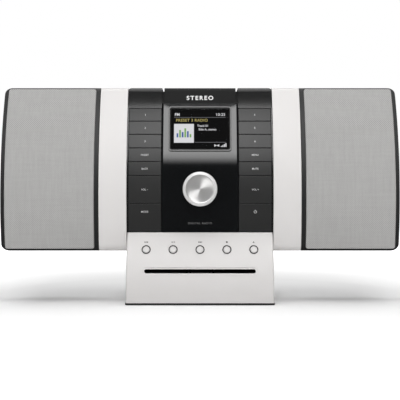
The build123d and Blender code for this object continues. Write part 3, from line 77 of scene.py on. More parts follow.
def arc_point(x, angle, lift=0.0):
    """A point of the front at an angle above the apex, lifted outwards."""
    reach = FRONT_RADIUS + lift
    return Vector((x, ARC_Y - reach * cos(angle), APEX_Z + reach * sin(angle)))


def arc_angle(z):
    return asin((z - APEX_Z) / FRONT_RADIUS)


# ---- shader maths
class Shade:
    """A node socket with operators, so that shader maths reads as an expression."""

    def __init__(self, material, socket):
        self.material = material
        self.socket = socket

    def maths(self, operation, *values):
        return self.material.node("ShaderNodeMath", {"operation": operation}, *values)

    def __add__(self, other):
        return self.maths("ADD", self, other)

    __radd__ = __add__

    def __sub__(self, other):
        return self.maths("SUBTRACT", self, other)

    def __rsub__(self, other):
        return self.maths("SUBTRACT", other, self)

    def __mul__(self, other):
        return self.maths("MULTIPLY", self, other)

    __rmul__ = __mul__

    def __truediv__(self, other):
        return self.maths("DIVIDE", self, other)

    def __pow__(self, other):
        return self.maths("POWER", self, other)

    def clamped(self):
        return self.maths("MINIMUM", self.maths("MAXIMUM", self, 0.0), 1.0)

    def sine(self):
        return self.maths("SINE", self)

    def part(self, axis):
        """One component of a vector."""
        split = self.material.raw("ShaderNodeSeparateXYZ", {}, self)
        return Shade(self.material, split.outputs[axis])


class Finish:
    """A material around one Principled shader."""

    def __init__(self, name, **constants):
        self.data = bpy.data.materials.new(name)
        self.data.use_nodes = True
        self.tree = self.data.node_tree
        self.shader = self.tree.nodes["Principled BSDF"]
        for label, value in constants.items():
            self.shader.inputs[label.replace("_", " ")].default_value = value

    def raw(self, kind, settings, *values, **named):
        made = self.tree.nodes.new(kind)
        for label, value in settings.items():
            setattr(made, label, value)
        for place, value in list(enumerate(values)) + list(named.items()):
            key = place if isinstance(place, int) else place.replace("_", " ")
            self.feed(made.inputs[key], value)
        return made

    def feed(self, socket, value):
        if isinstance(value, Shade):
            self.tree.links.new(value.socket, socket)
        else:
            socket.default_value = value

    def node(self, kind, settings, *values, **named):
        return Shade(self, self.raw(kind, settings, *values, **named).outputs[0])

    def place(self):
        """The surface's own position, which stays with the piece."""
        return Shade(self, self.raw("ShaderNodeTexCoord", {}).outputs["Object"])

    def noise(self, scale, detail=2.0, roughness=0.5, vector=None):
        sockets = {"Vector": vector or self.place(), "Scale": scale, "Detail": detail}
        return self.node("ShaderNodeTexNoise", {}, Roughness=roughness, **sockets)

    def stretched(self, x, y, z):
        """The position, scaled along each axis."""
        return self.node("ShaderNodeVectorMath", {"operation": "MULTIPLY"}, self.place(), (x, y, z))

    def blend(self, amount, first, second):
        """A colour between two colours."""
        mix = self.raw("ShaderNodeMix", {"data_type": "RGBA"})
        self.feed(mix.inputs[0], amount)
        for socket, colour in ((mix.inputs[6], first), (mix.inputs[7], second)):
            self.feed(socket, colour if isinstance(colour, Shade) else (*colour, 1.0))
        return Shade(self, mix.outputs[2])

    def surface(
        self, colour, rough, height=None, depth=0.1, distance=0.1 * MM, soft_edges=False, **others
    ):
        """Feed the shader: colour, roughness, a bump from a height and softened edges."""
        self.feed(self.shader.inputs["Base Color"], colour)
        self.feed(self.shader.inputs["Roughness"], rough)
        if height is not None:
            bump = self.raw("ShaderNodeBump", {}, Strength=depth, Distance=distance, Height=height)
            if soft_edges:
                edges = self.node("ShaderNodeBevel", {"samples": 4}, EDGE_SOFTNESS)
                self.feed(bump.inputs["Normal"], edges)
            self.feed(self.shader.inputs["Normal"], Shade(self, bump.outputs[0]))
        for label, value in others.items():
            self.feed(self.shader.inputs[label.replace("_", " ")], value)
        return self.data


# ---- finishes
EDGE_SOFTNESS = 0.5 * MM
THREAD_PITCH = 2.3 * MM


def moulded_white():
    """Satin white casing: a faint warm drift in tone and a very fine moulding grain."""
    finish = Finish("moulded_white", IOR=1.46, Coat_Roughness=0.3, Coat_Weight=0.1)
    drift = finish.noise(9.0, 3.0)
    colour = finish.blend(drift, (0.655, 0.637, 0.627), (0.692, 0.677, 0.669))
    grain = finish.noise(2600.0, 2.0)
    rough = 0.42 + finish.noise(60.0, 3.0) * 0.08
    return finish.surface(colour, rough, grain, 0.1, 0.04 * MM, soft_edges=True)


def dark_satin(
    name, low, high, rough, grain_scale=2200.0, gloss=0.5, grain_depth=0.2, soft_edges=True
):
    """Charcoal plastic with a fine spark-eroded grain."""
    finish = Finish(name, IOR=1.5, Specular_IOR_Level=gloss)
    drift = finish.noise(22.0, 3.0)
    colour = finish.blend(drift, (low, low, low), (high, high * 1.01, high))
    grain = finish.noise(grain_scale, 3.0, 0.6)
    roughness = rough + finish.noise(140.0, 2.0) * 0.025
    return finish.surface(colour, roughness, grain, grain_depth, 0.05 * MM, soft_edges=soft_edges)


def gloss_black():
    """Lacquered panel: very smooth, with a trace of ripple."""
    finish = Finish("gloss_black_panel", IOR=1.5)
    drift = finish.noise(30.0, 2.0)
    colour = finish.blend(drift, (0.0025, 0.003, 0.0035), (0.004, 0.0045, 0.005))
    rough = 0.05 + finish.noise(300.0, 2.0) * 0.03
    return finish.surface(colour, rough, finish.noise(90.0, 1.0), 0.01, 0.04 * MM)


def woven_cloth():
    """Light grey speaker cloth: a plain weave with faint slubs, darker between its threads."""
    finish = Finish("woven_grille_cloth", IOR=1.4, Specular_IOR_Level=0.2, Sheen_Weight=0.15)
    turns = 2 * pi / THREAD_PITCH
    weave = (finish.place().part("X") * turns).sine() * (finish.place().part("Z") * turns).sine()
    upright_slub = finish.noise(1.0, 2.0, 0.5, finish.stretched(420.0, 200.0, 28.0))
    level_slub = finish.noise(1.0, 2.0, 0.5, finish.stretched(28.0, 200.0, 420.0))
    slubs = upright_slub * 0.2 + level_slub * 0.12 - 0.16
    thread = (0.5 + weave * 0.38 + slubs).clamped()
    colour = finish.blend(thread, (0.225, 0.223, 0.218), (0.52, 0.516, 0.508))
    return finish.surface(colour, 0.9 - thread * 0.1, thread, 0.5, 0.2 * MM)


def spun_metal():
    """Turned aluminium: fine rings about the piece's own axis, which also stretch its gloss."""
    finish = Finish("spun_aluminium", Metallic=0.7, Anisotropic=0.88, Anisotropic_Rotation=0.375)
    place = finish.place()
    across = place.part("X")
    along = place.part("Y")
    radius = (across * across + along * along) ** 0.5
    rings = finish.node("ShaderNodeTexNoise", {"noise_dimensions": "1D"}, W=radius * 7000.0, Detail=4.0)
    colour = finish.blend(rings, (0.66, 0.655, 0.646), (0.78, 0.775, 0.767))
    return finish.surface(colour, 0.30 + rings * 0.08, rings, 0.1, 0.02 * MM)


def blasted_metal():
    """The knob's bevel: bead-blasted, so it looks bright from all round."""
    finish = Finish("blasted_aluminium", Metallic=0.25)
    grain = finish.noise(2400.0, 2.0)
    colour = finish.blend(grain, (0.74, 0.735, 0.727), (0.82, 0.815, 0.808))
    return finish.surface(colour, 0.4 + grain * 0.08, grain, 0.08, 0.02 * MM)


def plated(name, tone, rough):
    """Bright metal with a faint handling smear."""
    finish = Finish(name, Metallic=1.0)
    smear = finish.noise(180.0, 3.0)
    bright = min(1.0, tone * 1.1)
    colour = finish.blend(smear, (tone, tone, tone), (bright, bright, bright))
    return finish.surface(colour, rough + smear * 0.06, finish.noise(700.0, 2.0), 0.03, 0.03 * MM)


def soft_rubber():
    finish = Finish("soft_rubber", IOR=1.45, Specular_IOR_Level=0.3)
    drift = finish.noise(60.0, 3.0)
    colour = finish.blend(drift, (0.012, 0.012, 0.012), (0.022, 0.022, 0.022))
    return finish.surface(colour, 0.72 + drift * 0.12, finish.noise(1500.0, 3.0), 0.3, 0.08 * MM)


def circuit_green():
    """Solder mask with faint copper tracks under it."""
    finish = Finish("circuit_board_mask", IOR=1.5, Coat_Weight=0.3)
    settings = {"feature": "DISTANCE_TO_EDGE"}
    tracks = finish.node("ShaderNodeTexVoronoi", settings, Vector=finish.place(), Scale=160.0)
    copper = (tracks * 14.0).clamped()
    colour = finish.blend(copper, (0.03, 0.16, 0.06), (0.012, 0.075, 0.03))
    return finish.surface(colour, 0.35 + finish.noise(90.0) * 0.1, copper, 0.2, 0.05 * MM)


def pressed_paper():
    finish = Finish("pressed_paper_cone", Specular_IOR_Level=0.2)
    fibre = finish.noise(1.0, 4.0, 0.7, finish.stretched(500.0, 120.0, 500.0))
    colour = finish.blend(fibre, (0.02, 0.02, 0.02), (0.05, 0.048, 0.045))
    return finish.surface(colour, 0.8 + fibre * 0.1, fibre, 0.4, 0.15 * MM)


def ferrite():
    finish = Finish("ferrite_magnet", IOR=1.6)
    grain = finish.noise(900.0, 4.0, 0.7)
    colour = finish.blend(grain, (0.03, 0.03, 0.032), (0.07, 0.07, 0.072))
    return finish.surface(colour, 0.55 + grain * 0.2, grain, 0.4, 0.1 * MM)


def window_glass():
    """Clear anti-glare window over the display."""
    finish = Finish("display_window_glass", IOR=1.3, Specular_IOR_Level=0.2)
    smear = finish.noise(40.0, 2.0)
    colour = finish.blend(smear, (0.002, 0.002, 0.003), (0.004, 0.004, 0.005))
    return finish.surface(colour, 0.25 + smear * 0.1, Alpha=0.06 + smear * 0.02)


def print_ink(name, tone, glow=0.0):
    """Printed marks, or lit ones where glow is above nothing."""
    finish = Finish(name, Specular_IOR_Level=0.2, Emission_Strength=glow)
    patch = finish.noise(3000.0, 2.0)
    thin = tuple(value * 0.88 for value in tone)
    colour = finish.blend(patch, thin, tuple(tone))
    if not glow:
        return finish.surface(colour, 0.5 + patch * 0.1)
    finish.feed(finish.shader.inputs["Emission Color"], colour)
    unlit = finish.blend(patch, (0.01, 0.01, 0.01), (0.02, 0.02, 0.02))
    finish.data.cycles.emission_sampling = "NONE"
    return finish.surface(unlit, 0.5 + patch * 0.1)


WHITE = moulded_white()
# each dark plastic has its name, its deeper and its lighter tone, and its roughness
CABINET = dark_satin("cabinet_satin_charcoal", 0.014, 0.019, 0.42, gloss=0.35, grain_depth=0.08)
CARRIER = dark_satin("insert_satin_charcoal", 0.011, 0.014, 0.13, grain_scale=1800.0, gloss=0.36)
KEYS = dark_satin("key_satin_grey", 0.023, 0.028, 0.285, grain_scale=1800.0, gloss=0.27)
HEADER = dark_satin("header_matt_charcoal", 0.0075, 0.0095, 0.60, gloss=0.15)
REAR = dark_satin("rear_textured_charcoal", 0.020, 0.030, 0.55, grain_scale=900.0)
BLACK = dark_satin("plain_black_plastic", 0.006, 0.010, 0.5, soft_edges=False)
BEZEL = dark_satin("bezel_satin_graphite", 0.026, 0.034, 0.25)
SCREEN = dark_satin("display_screen_black", 0.0004, 0.0008, 0.6, gloss=0.02, soft_edges=False)
PANEL = gloss_black()
CLOTH = woven_cloth()
SPUN = spun_metal()
BLASTED = blasted_metal()
RUBBER = soft_rubber()
BOARD = circuit_green()
PAPER = pressed_paper()
MAGNET = ferrite()
PLATED = plated("plated_steel", 0.55, 0.28)
RING = plated("ring_dark_chrome", 0.022, 0.42)
AERIAL = plated("aerial_chrome", 0.66, 0.12)
GLASS = window_glass()
KEY_INK = print_ink("key_print", (0.62, 0.62, 0.62))
DIM_INK = print_ink("dim_panel_print", (0.19, 0.19, 0.19))
WHITE_INK = print_ink("header_print", (0.86, 0.86, 0.86))
GREY_INK = print_ink("symbol_print", (0.06, 0.06, 0.06))
LIT_WHITE = print_ink("lit_white", (0.80, 0.80, 0.83), 1.0)
LIT_GREY = print_ink("lit_grey", (0.10, 0.10, 0.11), 1.0)
LIT_YELLOW = print_ink("lit_yellow", (0.46, 0.38, 0.11), 1.0)
LIT_BLUE = print_ink("lit_blue", (0.045, 0.12, 0.36), 1.0)
LIT_GREEN = print_ink("lit_green", (0.20, 0.42, 0.10), 1.0)

FINISHES = {
    WHITE: ("front_frame", "base_front", "base_shell"),
    CABINET: ("left_cabinet", "right_cabinet"),
    CARRIER: ("control_carrier", "base_plate"),
    HEADER: ("header_panel",),
    PANEL: ("control_panel",),
    REAR: ("rear_cover",),
    BEZEL: ("display_bezel",),
    SCREEN: ("display_module",),
    BOARD: ("switch_boards", "main_board"),
    MAGNET: ("driver_magnets",),
    PAPER: ("left_cone", "right_cone"),
    RUBBER: ("loading_roller", "rubber_feet", "cone_surrounds"),
    PLATED: ("encoder_shaft", "driver_baskets", "cd_motors", "guide_rods", "screws"),
    RING: ("button_rings",),
    AERIAL: ("antenna_swivel", "antenna_lower", "antenna_middle", "antenna_tip"),
}
BY_NODE = {node: finish for finish, nodes in FINISHES.items() for node in nodes}


def finish_of(node):
    if node.startswith("key_"):
        return KEYS
    if node.startswith("disc_button_"):
        return WHITE
    return BY_NODE.get(node, BLACK)


for name, node in frame["nodes"].items():
    for place in node.material_slots:
        place.material = finish_of(name)


# ---- making pieces
def make_piece(name, points, faces, finish, body="housing", smooth=True):
    """A mesh piece that rides on a body."""
    data = bpy.data.meshes.new(name)
    data.from_pydata([tuple(point) for point in points], [], faces)
    data.polygons.foreach_set("use_smooth", [smooth] * len(data.polygons))
    data.materials.append(finish)
    piece = add_object(name, data)
    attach(piece, body)
    return piece


def grid_faces(rows, columns, closed=False):
    faces = []
    for row in range(rows - 1):
        for column in range(columns if closed else columns - 1):
            beside = (column + 1) % columns
            low = row * columns
            high = low + columns
            faces.append((low + column, low + beside, high + beside, high + column))
    return faces


# ---- grille cloths
CLOTH_CORNER = 3 * MM
CLOTH_DROP = 0.35 * MM
CLOTH_ROLL = 1.4 * MM
CLOTH_ROLL_DEPTH = 0.63 * MM
CLOTH_TUCK = 1.6 * MM
CLOTH_ROWS = 56
CLOTH_COLUMNS = 40
EDGE_ROWS = 8


def eased(steps, start, end):
    """Places from start to end, closer together near both ends."""
    return [start + (end - start) * (1 - cos(pi * step / steps)) / 2 for step in range(steps + 1)]


def cloth_rows(low_z, high_z, half):
    """The height and half width of each row, from the rounded bottom corners to the top ones."""
    turns = [pi / 2 * step / EDGE_ROWS for step in range(EDGE_ROWS + 1)]
    rows = []
    for turn in reversed(turns):
        rows.append((low_z + CLOTH_CORNER * (1 - sin(turn)), half - CLOTH_CORNER * (1 - cos(turn))))
    for height in eased(CLOTH_ROWS, low_z + CLOTH_CORNER, high_z - CLOTH_CORNER)[1:-1]:
        rows.append((height, half))
    for turn in turns:
        rows.append((high_z - CLOTH_CORNER * (1 - sin(turn)), half - CLOTH_CORNER * (1 - cos(turn))))
    return rows


def border_of(rows, columns):
    """The outer points of a grid, once round."""
    last = (rows - 1) * columns
    border = list(range(columns))
    border += [columns * row + columns - 1 for row in range(1, rows)]
    border += [last + column for column in range(columns - 2, -1, -1)]
    border += [columns * row for row in range(rows - 2, 0, -1)]
    return border


def make_grille_cloth(side):
    """The cloth, stretched over its frame: rolled round the border and tucked into the gap."""
    node = f"{side}_grille_cloth"
    low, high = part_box(node)
    middle_x = (low.x + high.x) / 2
    half = (high.x - low.x) / 2
    rows = cloth_rows(low.z, high.z, half)
    points = []
    for height, reach in rows:
        for share in eased(CLOTH_COLUMNS, -1.0, 1.0):
            x = middle_x + share * reach
            edge = min(height - low.z, high.z - height, reach * (1 - abs(share)))
            roll = max(0.0, 1 - edge / CLOTH_ROLL)
            drop = CLOTH_DROP + CLOTH_ROLL_DEPTH * (1 - sqrt(max(0.0, 1 - roll * roll)))
            points.append(arc_point(x, arc_angle(height), -drop))
    columns = CLOTH_COLUMNS + 1
    faces = grid_faces(len(rows), columns)
    border = border_of(len(rows), columns)
    tucked = len(points)
    for place in border:
        points.append(points[place] + Vector((0, CLOTH_TUCK, 0)))
    for step in range(len(border)):
        following = (step + 1) % len(border)
        faces.append((border[step], tucked + step, tucked + following, border[following]))
    piece = make_piece(f"stretched_{node}", points, faces, CLOTH)
    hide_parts(node)
    along = FRONT_RADIUS * (arc_angle(high.z) - arc_angle(low.z))


for side in ("left", "right"):
    make_grille_cloth(side)


# ---- marks: flat outlines laid on a surface
def outline_of_text(text, size, bolder=0.0, spread=1.0):
    """Points and faces of a text, centred on its own middle."""
    curve = bpy.data.curves.new("lettering", "FONT")
    curve.body = text
    curve.size = size
    curve.offset = bolder
    curve.space_character = spread
    curve.align_x = "CENTER"
    curve.align_y = "CENTER"
    curve.resolution_u = 4
    holder = add_object("lettering", curve)
    graph = bpy.context.evaluated_depsgraph_get()
    mesh = bpy.data.meshes.new_from_object(holder.evaluated_get(graph))
    points = [(point.co.x, point.co.y) for point in mesh.vertices]
    faces = [tuple(face.vertices) for face in mesh.polygons]
    bpy.data.objects.remove(holder)
    return points, faces


def polygon(*points):
    return list(points), [tuple(range(len(points)))]


def bar(x0, x1, y0, y1):
    return polygon((x0, y0), (x1, y0), (x1, y1), (x0, y1))


def ring_outline(radius, wall, start=0.0, end=2 * pi, steps=36):
    """A band of a circle between two angles."""
    points = []
    for step in range(steps + 1):
        turn = start + (end - start) * step / steps
        for reach in (radius - wall, radius):
            points.append((reach * cos(turn), reach * sin(turn)))
    faces = [(2 * step, 2 * step + 1, 2 * step + 3, 2 * step + 2) for step in range(steps)]
    return points, faces


def fix_order(parts, place):
    """Sort a mesh's points or faces by their place, so that every run has them in the same order."""
    ranks = {part: rank for rank, part in enumerate(sorted(parts, key=place))}
    parts.sort(key=ranks.get)


def lay_marks(name, outlines, spot, ink, body, thickness=0.06 * MM, sunk=0.02 * MM):
    """Join outlines into one thin piece; spot turns a flat place and a lift into a point."""
    mesh = bmesh.new()
    for points, faces in outlines:
        corners = [mesh.verts.new((x, y, 0)) for x, y in points]
        for face in faces:
            mesh.faces.new([corners[place] for place in face])
    bmesh.ops.remove_doubles(mesh, verts=mesh.verts, dist=0.001 * MM)
    bmesh.ops.recalc_face_normals(mesh, faces=mesh.faces)
    for face in mesh.faces:
        if face.normal.z < 0:
            face.normal_flip()
    raised = bmesh.ops.extrude_face_region(mesh, geom=mesh.faces[:], use_keep_orig=True)
    upper = [part for part in raised["geom"] if isinstance(part, bmesh.types.BMVert)]
    top = set(upper)
    for vertex in mesh.verts:
        lift = thickness - sunk if vertex in top else -sunk
        vertex.co = spot(vertex.co.x, vertex.co.y, lift)
    bmesh.ops.recalc_face_normals(mesh, faces=mesh.faces)
    fix_order(mesh.verts, lambda vertex: tuple(vertex.co))
    fix_order(mesh.faces, lambda face: tuple(face.calc_center_median()))
    data = bpy.data.meshes.new(name)
    mesh.to_mesh(data)
    mesh.free()
    data.materials.append(ink)
    piece = add_object(name, data)
    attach(piece, body)
    return piece


def on_front(x, z):
    """Laying on the body's curved front, about a place on it."""
    angle = arc_angle(z)
    return lambda u, v, lift: arc_point(x + u, angle + v / FRONT_RADIUS, lift)


# ---- key labels
LABELS = {
    "1": "1", "2": "2", "3": "3", "4": "4", "5": "5", "6": "6",
    "preset": "PRESET", "back": "BACK", "volume_down": "VOL –", "mode": "MODE",
    "menu": "MENU", "mute": "MUTE", "volume_up": "VOL +",
}
LABEL_SIZE = 2.9 * MM
NUMBER_SIZE = 3.4 * MM
LABEL_WEIGHT = 0.02 * MM

LOW_KEYS = ("key_mode", "key_power")
LOW_LABEL_DROP = 9.2 * MM


def label_height(node):
    """Labels stand at the middle of a key, but near the top of the two tall lowest ones."""
    low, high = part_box(node)
    return high.z - LOW_LABEL_DROP if node in LOW_KEYS else (low.z + high.z) / 2


for key, text in LABELS.items():
    node = f"key_{key}"
    size = NUMBER_SIZE if len(text) == 1 else LABEL_SIZE
    outline = outline_of_text(text, size, LABEL_WEIGHT)
    spot = on_front(middle_of(node).x, label_height(node))
    lay_marks(f"{node}_label", [outline], spot, KEY_INK, node)

POWER_RADIUS = 1.75 * MM
POWER_STROKE = 0.45 * MM
power_marks = [
    ring_outline(POWER_RADIUS, POWER_STROKE, radians(125), radians(415)),
    bar(-POWER_STROKE / 2, POWER_STROKE / 2, POWER_RADIUS * 0.2, POWER_RADIUS * 1.25),
]
spot = on_front(middle_of("key_power").x, label_height("key_power"))
lay_marks("key_power_symbol", power_marks, spot, KEY_INK, "key_power")

# ---- printing on the header strip and the panel
HEADER_TEXT_DROP = 13.0 * MM
PANEL_TEXT_RISE = 10.2 * MM
header_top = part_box("header_panel")[1].z
panel_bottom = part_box("control_panel")[0].z
spot = on_front(0, header_top - HEADER_TEXT_DROP)
title = outline_of_text("STEREO", 7.4 * MM, bolder=0.16 * MM, spread=1.3)
lay_marks("header_lettering", [title], spot, WHITE_INK, "housing")
spot = on_front(0, panel_bottom + PANEL_TEXT_RISE)
subtitle = outline_of_text("DIGITAL RADIO", 3.2 * MM, spread=1.25)
lay_marks("panel_lettering", [subtitle], spot, DIM_INK, "housing")

# ---- disc-button symbols
BASE_RADIUS = 140 * MM
BASE_APEX_Z = 4.5 * MM
BASE_ARC_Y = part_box("base_front")[0].y + BASE_RADIUS
SYMBOL_RISE = 9.6 * MM
SYMBOL_HALF = 0.95 * MM


def on_base(x, z):
    """Laying on the base's curved front, about a place on it."""
    angle = asin((z - BASE_APEX_Z) / BASE_RADIUS)

    def spot(u, v, lift):
        reach = BASE_RADIUS + lift
        turn = angle + v / BASE_RADIUS
        return Vector((x + u, BASE_ARC_Y - reach * cos(turn), BASE_APEX_Z + reach * sin(turn)))

    return spot


def arrow(tip, tail, half=SYMBOL_HALF):
    """A triangle that points from tail to tip."""
    return polygon((tip, 0), (tail, half), (tail, -half))


half = SYMBOL_HALF
SYMBOLS = {
    "previous": [
        bar(-2.3 * half, -1.9 * half, -half, half), arrow(-1.9 * half, 0.0), arrow(0.0, 1.9 * half),
    ],
    "play": [
        arrow(0.0, -1.8 * half),
        bar(0.7 * half, 1.1 * half, -half, half),
        bar(1.6 * half, 2.0 * half, -half, half),
    ],
    "next": [arrow(0.0, -1.9 * half), arrow(1.9 * half, 0.0), bar(1.9 * half, 2.3 * half, -half, half)],
    "stop": [bar(-half, half, -half, half)],
    "eject": [
        polygon((-1.15 * half, -0.35 * half), (1.15 * half, -0.35 * half), (0, half)),
        bar(-1.15 * half, 1.15 * half, -half, -0.6 * half),
    ],
}
for button, marks in SYMBOLS.items():
    centre = middle_of(f"disc_button_{button}")
    spot = on_base(centre.x, centre.z + SYMBOL_RISE)
    lay_marks(f"{button}_symbol", marks, spot, GREY_INK, "housing")


# ---- display: window glass and what the screen shows
def facing(node):
    """The outward direction of a flat plate's front."""
    plate = frame["nodes"][node].data
    front = max((face for face in plate.polygons if face.normal.y < -0.5), key=lambda face: face.area)
    return Vector(front.normal)


window_out = facing("display_window")
window_up = Vector((0, window_out.z, -window_out.y)).normalized()
window_middle = middle_of("display_window")
WINDOW_WIDTH = size_of("display_window").x
WINDOW_THICKNESS = 1.5 * MM
GLASS_THICKNESS = 1.2 * MM
WINDOW_CORNER = 1.1 * MM
WINDOW_CHAMFER = 0.15 * MM
WINDOW_HEIGHT = (size_of("display_window").z - WINDOW_THICKNESS * window_out.z) / window_up.z
screen_middle = window_middle - window_out * (WINDOW_THICKNESS / 2)


def on_screen(u, v, lift):
    return screen_middle + Vector((u, 0, 0)) + window_up * v + window_out * lift


def rounded_outline(width, height, corner, steps=8):
    """The corner points of a rounded rectangle, counter-clockwise."""
    points = []
    for quarter in range(4):
        sx = 1 if quarter in (0, 3) else -1
        sy = 1 if quarter in (0, 1) else -1
        for step in range(steps + 1):
            turn = pi / 2 * (quarter + step / steps)
            x = sx * (width / 2 - corner) + corner * cos(turn)
            y = sy * (height / 2 - corner) + corner * sin(turn)
            points.append((x, y))
    return points


def make_window_glass():
    """A thin pane with a fine chamfer, clear of the screen behind it."""
    loops = []
    back = WINDOW_THICKNESS - GLASS_THICKNESS
    shoulder = WINDOW_THICKNESS - WINDOW_CHAMFER
    for lift, inset in ((back, 0.0), (shoulder, 0.0), (WINDOW_THICKNESS, WINDOW_CHAMFER)):
        shape = rounded_outline(WINDOW_WIDTH - 2 * inset, WINDOW_HEIGHT - 2 * inset, WINDOW_CORNER)
        loops.append([on_screen(u, v, lift) for u, v in shape])
    count = len(loops[0])
    points = [point for loop in loops for point in loop]
    faces = grid_faces(len(loops), count, closed=True)
    faces.append(tuple(reversed(range(count))))
    faces.append(tuple(2 * count + place for place in range(count)))
    pane = make_piece("window_pane", points, faces, GLASS, smooth=False)
    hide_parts("display_window")


def moved(outline, x, y):
    points, faces = outline
    return [(x + u, y + v) for u, v in points], faces


SCREEN_MARK_THICKNESS = 0.05 * MM
SCREEN_MARK_LIFT = 0.05 * MM


def screen_marks(name, outlines, ink, spot=on_screen):
    piece = lay_marks(name, outlines, spot, ink, "housing", SCREEN_MARK_THICKNESS, -SCREEN_MARK_LIFT)


make_window_glass()

# places on the screen, from its middle
MARGIN = WINDOW_WIDTH * 0.45
TOP_TEXT_Y = WINDOW_HEIGHT * 0.37
TOP_LINE_Y = WINDOW_HEIGHT * 0.30
STATION_Y = WINDOW_HEIGHT * 0.225
LOW_LINE_Y = -WINDOW_HEIGHT * 0.325
ICON_Y = -WINDOW_HEIGHT * 0.405
LINE_HALF = 0.35 * MM
TILE_HALF = WINDOW_WIDTH * 0.172
TILE_X = -MARGIN + TILE_HALF
TILE_Y = -WINDOW_HEIGHT * 0.10
TEXT_LEFT = TILE_X + TILE_HALF + 13.5 * MM
tile = bar(TILE_X - TILE_HALF, TILE_X + TILE_HALF, TILE_Y - TILE_HALF, TILE_Y + TILE_HALF)
screen_marks("screen_tile", [tile], LIT_WHITE)

# text, its size, how much bolder, its letter spacing and its middle
SCREEN_TEXTS = (
    ("FM", 4.8 * MM, 0.1 * MM, 1.0, -MARGIN + 3.6 * MM, TOP_TEXT_Y),
    ("10:25", 4.6 * MM, 0.06 * MM, 1.1, MARGIN - 6.2 * MM, TOP_TEXT_Y),
    ("Track 01", 3.6 * MM, 0.06 * MM, 1.0, TEXT_LEFT - 3.2 * MM, 4.2 * MM),
    ("Side A, stereo", 3.6 * MM, 0.06 * MM, 1.0, TEXT_LEFT + 2.2 * MM, -0.2 * MM),
)
texts = [
    moved(outline_of_text(text, size, bolder, spread), x, y)
    for text, size, bolder, spread, x, y in SCREEN_TEXTS
]
screen_marks("screen_text", texts, LIT_WHITE)
lines = [
    bar(-MARGIN, MARGIN, TOP_LINE_Y - LINE_HALF, TOP_LINE_Y + LINE_HALF),
    bar(TILE_X + TILE_HALF + 1 * MM, MARGIN, LOW_LINE_Y - LINE_HALF, LOW_LINE_Y + LINE_HALF),
]
screen_marks("screen_lines", lines, LIT_GREY)
station = outline_of_text("PRESET 3 RADIO", 4.8 * MM, bolder=0.06 * MM, spread=1.06)
screen_marks("screen_station", [moved(station, -MARGIN + 20.6 * MM, STATION_Y)], LIT_YELLOW)

# the bars on the tile, in turn blue and green, and just proud of it
BAR_HEIGHTS = (5.0, 9.0, 6.5, 11.0, 7.5, 4.0)
BAR_PITCH = 3 * MM
BAR_HALF = 1 * MM
BAR_DROP = 5 * MM
TILE_LIFT = 0.06 * MM
bars = []
for step, height in enumerate(BAR_HEIGHTS):
    x = TILE_X + (step - (len(BAR_HEIGHTS) - 1) / 2) * BAR_PITCH
    bars.append(bar(x - BAR_HALF, x + BAR_HALF, TILE_Y - BAR_DROP, TILE_Y - BAR_DROP + height * MM))


def on_tile(u, v, lift):
    return on_screen(u, v, lift + TILE_LIFT)


screen_marks("screen_bars_blue", bars[0::2], LIT_BLUE, on_tile)
screen_marks("screen_bars_green", bars[1::2], LIT_GREEN, on_tile)

# a bow tie and four rising bars
TIE_X = 16.5 * MM
TIE_REACH = 2.8 * MM
TIE_HALF = 1.6 * MM
SIGNAL_X = 24 * MM
SIGNAL_PITCH = 1.75 * MM
SIGNAL_WIDTH = 1.2 * MM
SIGNAL_DROP = 1.7 * MM
SIGNAL_START = 0.6 * MM
SIGNAL_STEP = 1.1 * MM
icons = [
    moved(arrow(TIE_REACH, 0.0, TIE_HALF), TIE_X, ICON_Y),
    moved(arrow(TIE_REACH, 2 * TIE_REACH, TIE_HALF), TIE_X, ICON_Y),
]
for step in range(4):
    x = SIGNAL_X + step * SIGNAL_PITCH
    top = ICON_Y + step * SIGNAL_STEP - SIGNAL_START
    icons.append(bar(x, x + SIGNAL_WIDTH, ICON_Y - SIGNAL_DROP, top))
screen_marks("screen_icons", icons, LIT_WHITE)


# ---- knob
KNOB_SEGMENTS = 160
KNOB_FACE_RADIUS = 16.1 * MM
KNOB_WALL = 2 * MM
KNOB_THICKNESS = 4 * MM
BOSS_RADIUS = 6 * MM
SHAFT_RADIUS = 3.05 * MM
# the rows of the knob's profile that are its bevel
BEVEL_START = 5
BEVEL_END = 9
spin = next(item for item in frame["joints"] if item["name"] == "knob_spin")
knob_axis = Vector(spin["axis"]).normalized()
knob_centre = Vector(spin["pos_m"])


def span_along(node, origin, axis):
    """How far a node reaches along an axis, from an origin on it."""
    heights = [(point.co - origin).dot(axis) for point in frame["nodes"][node].data.vertices]
    return min(heights), max(heights)


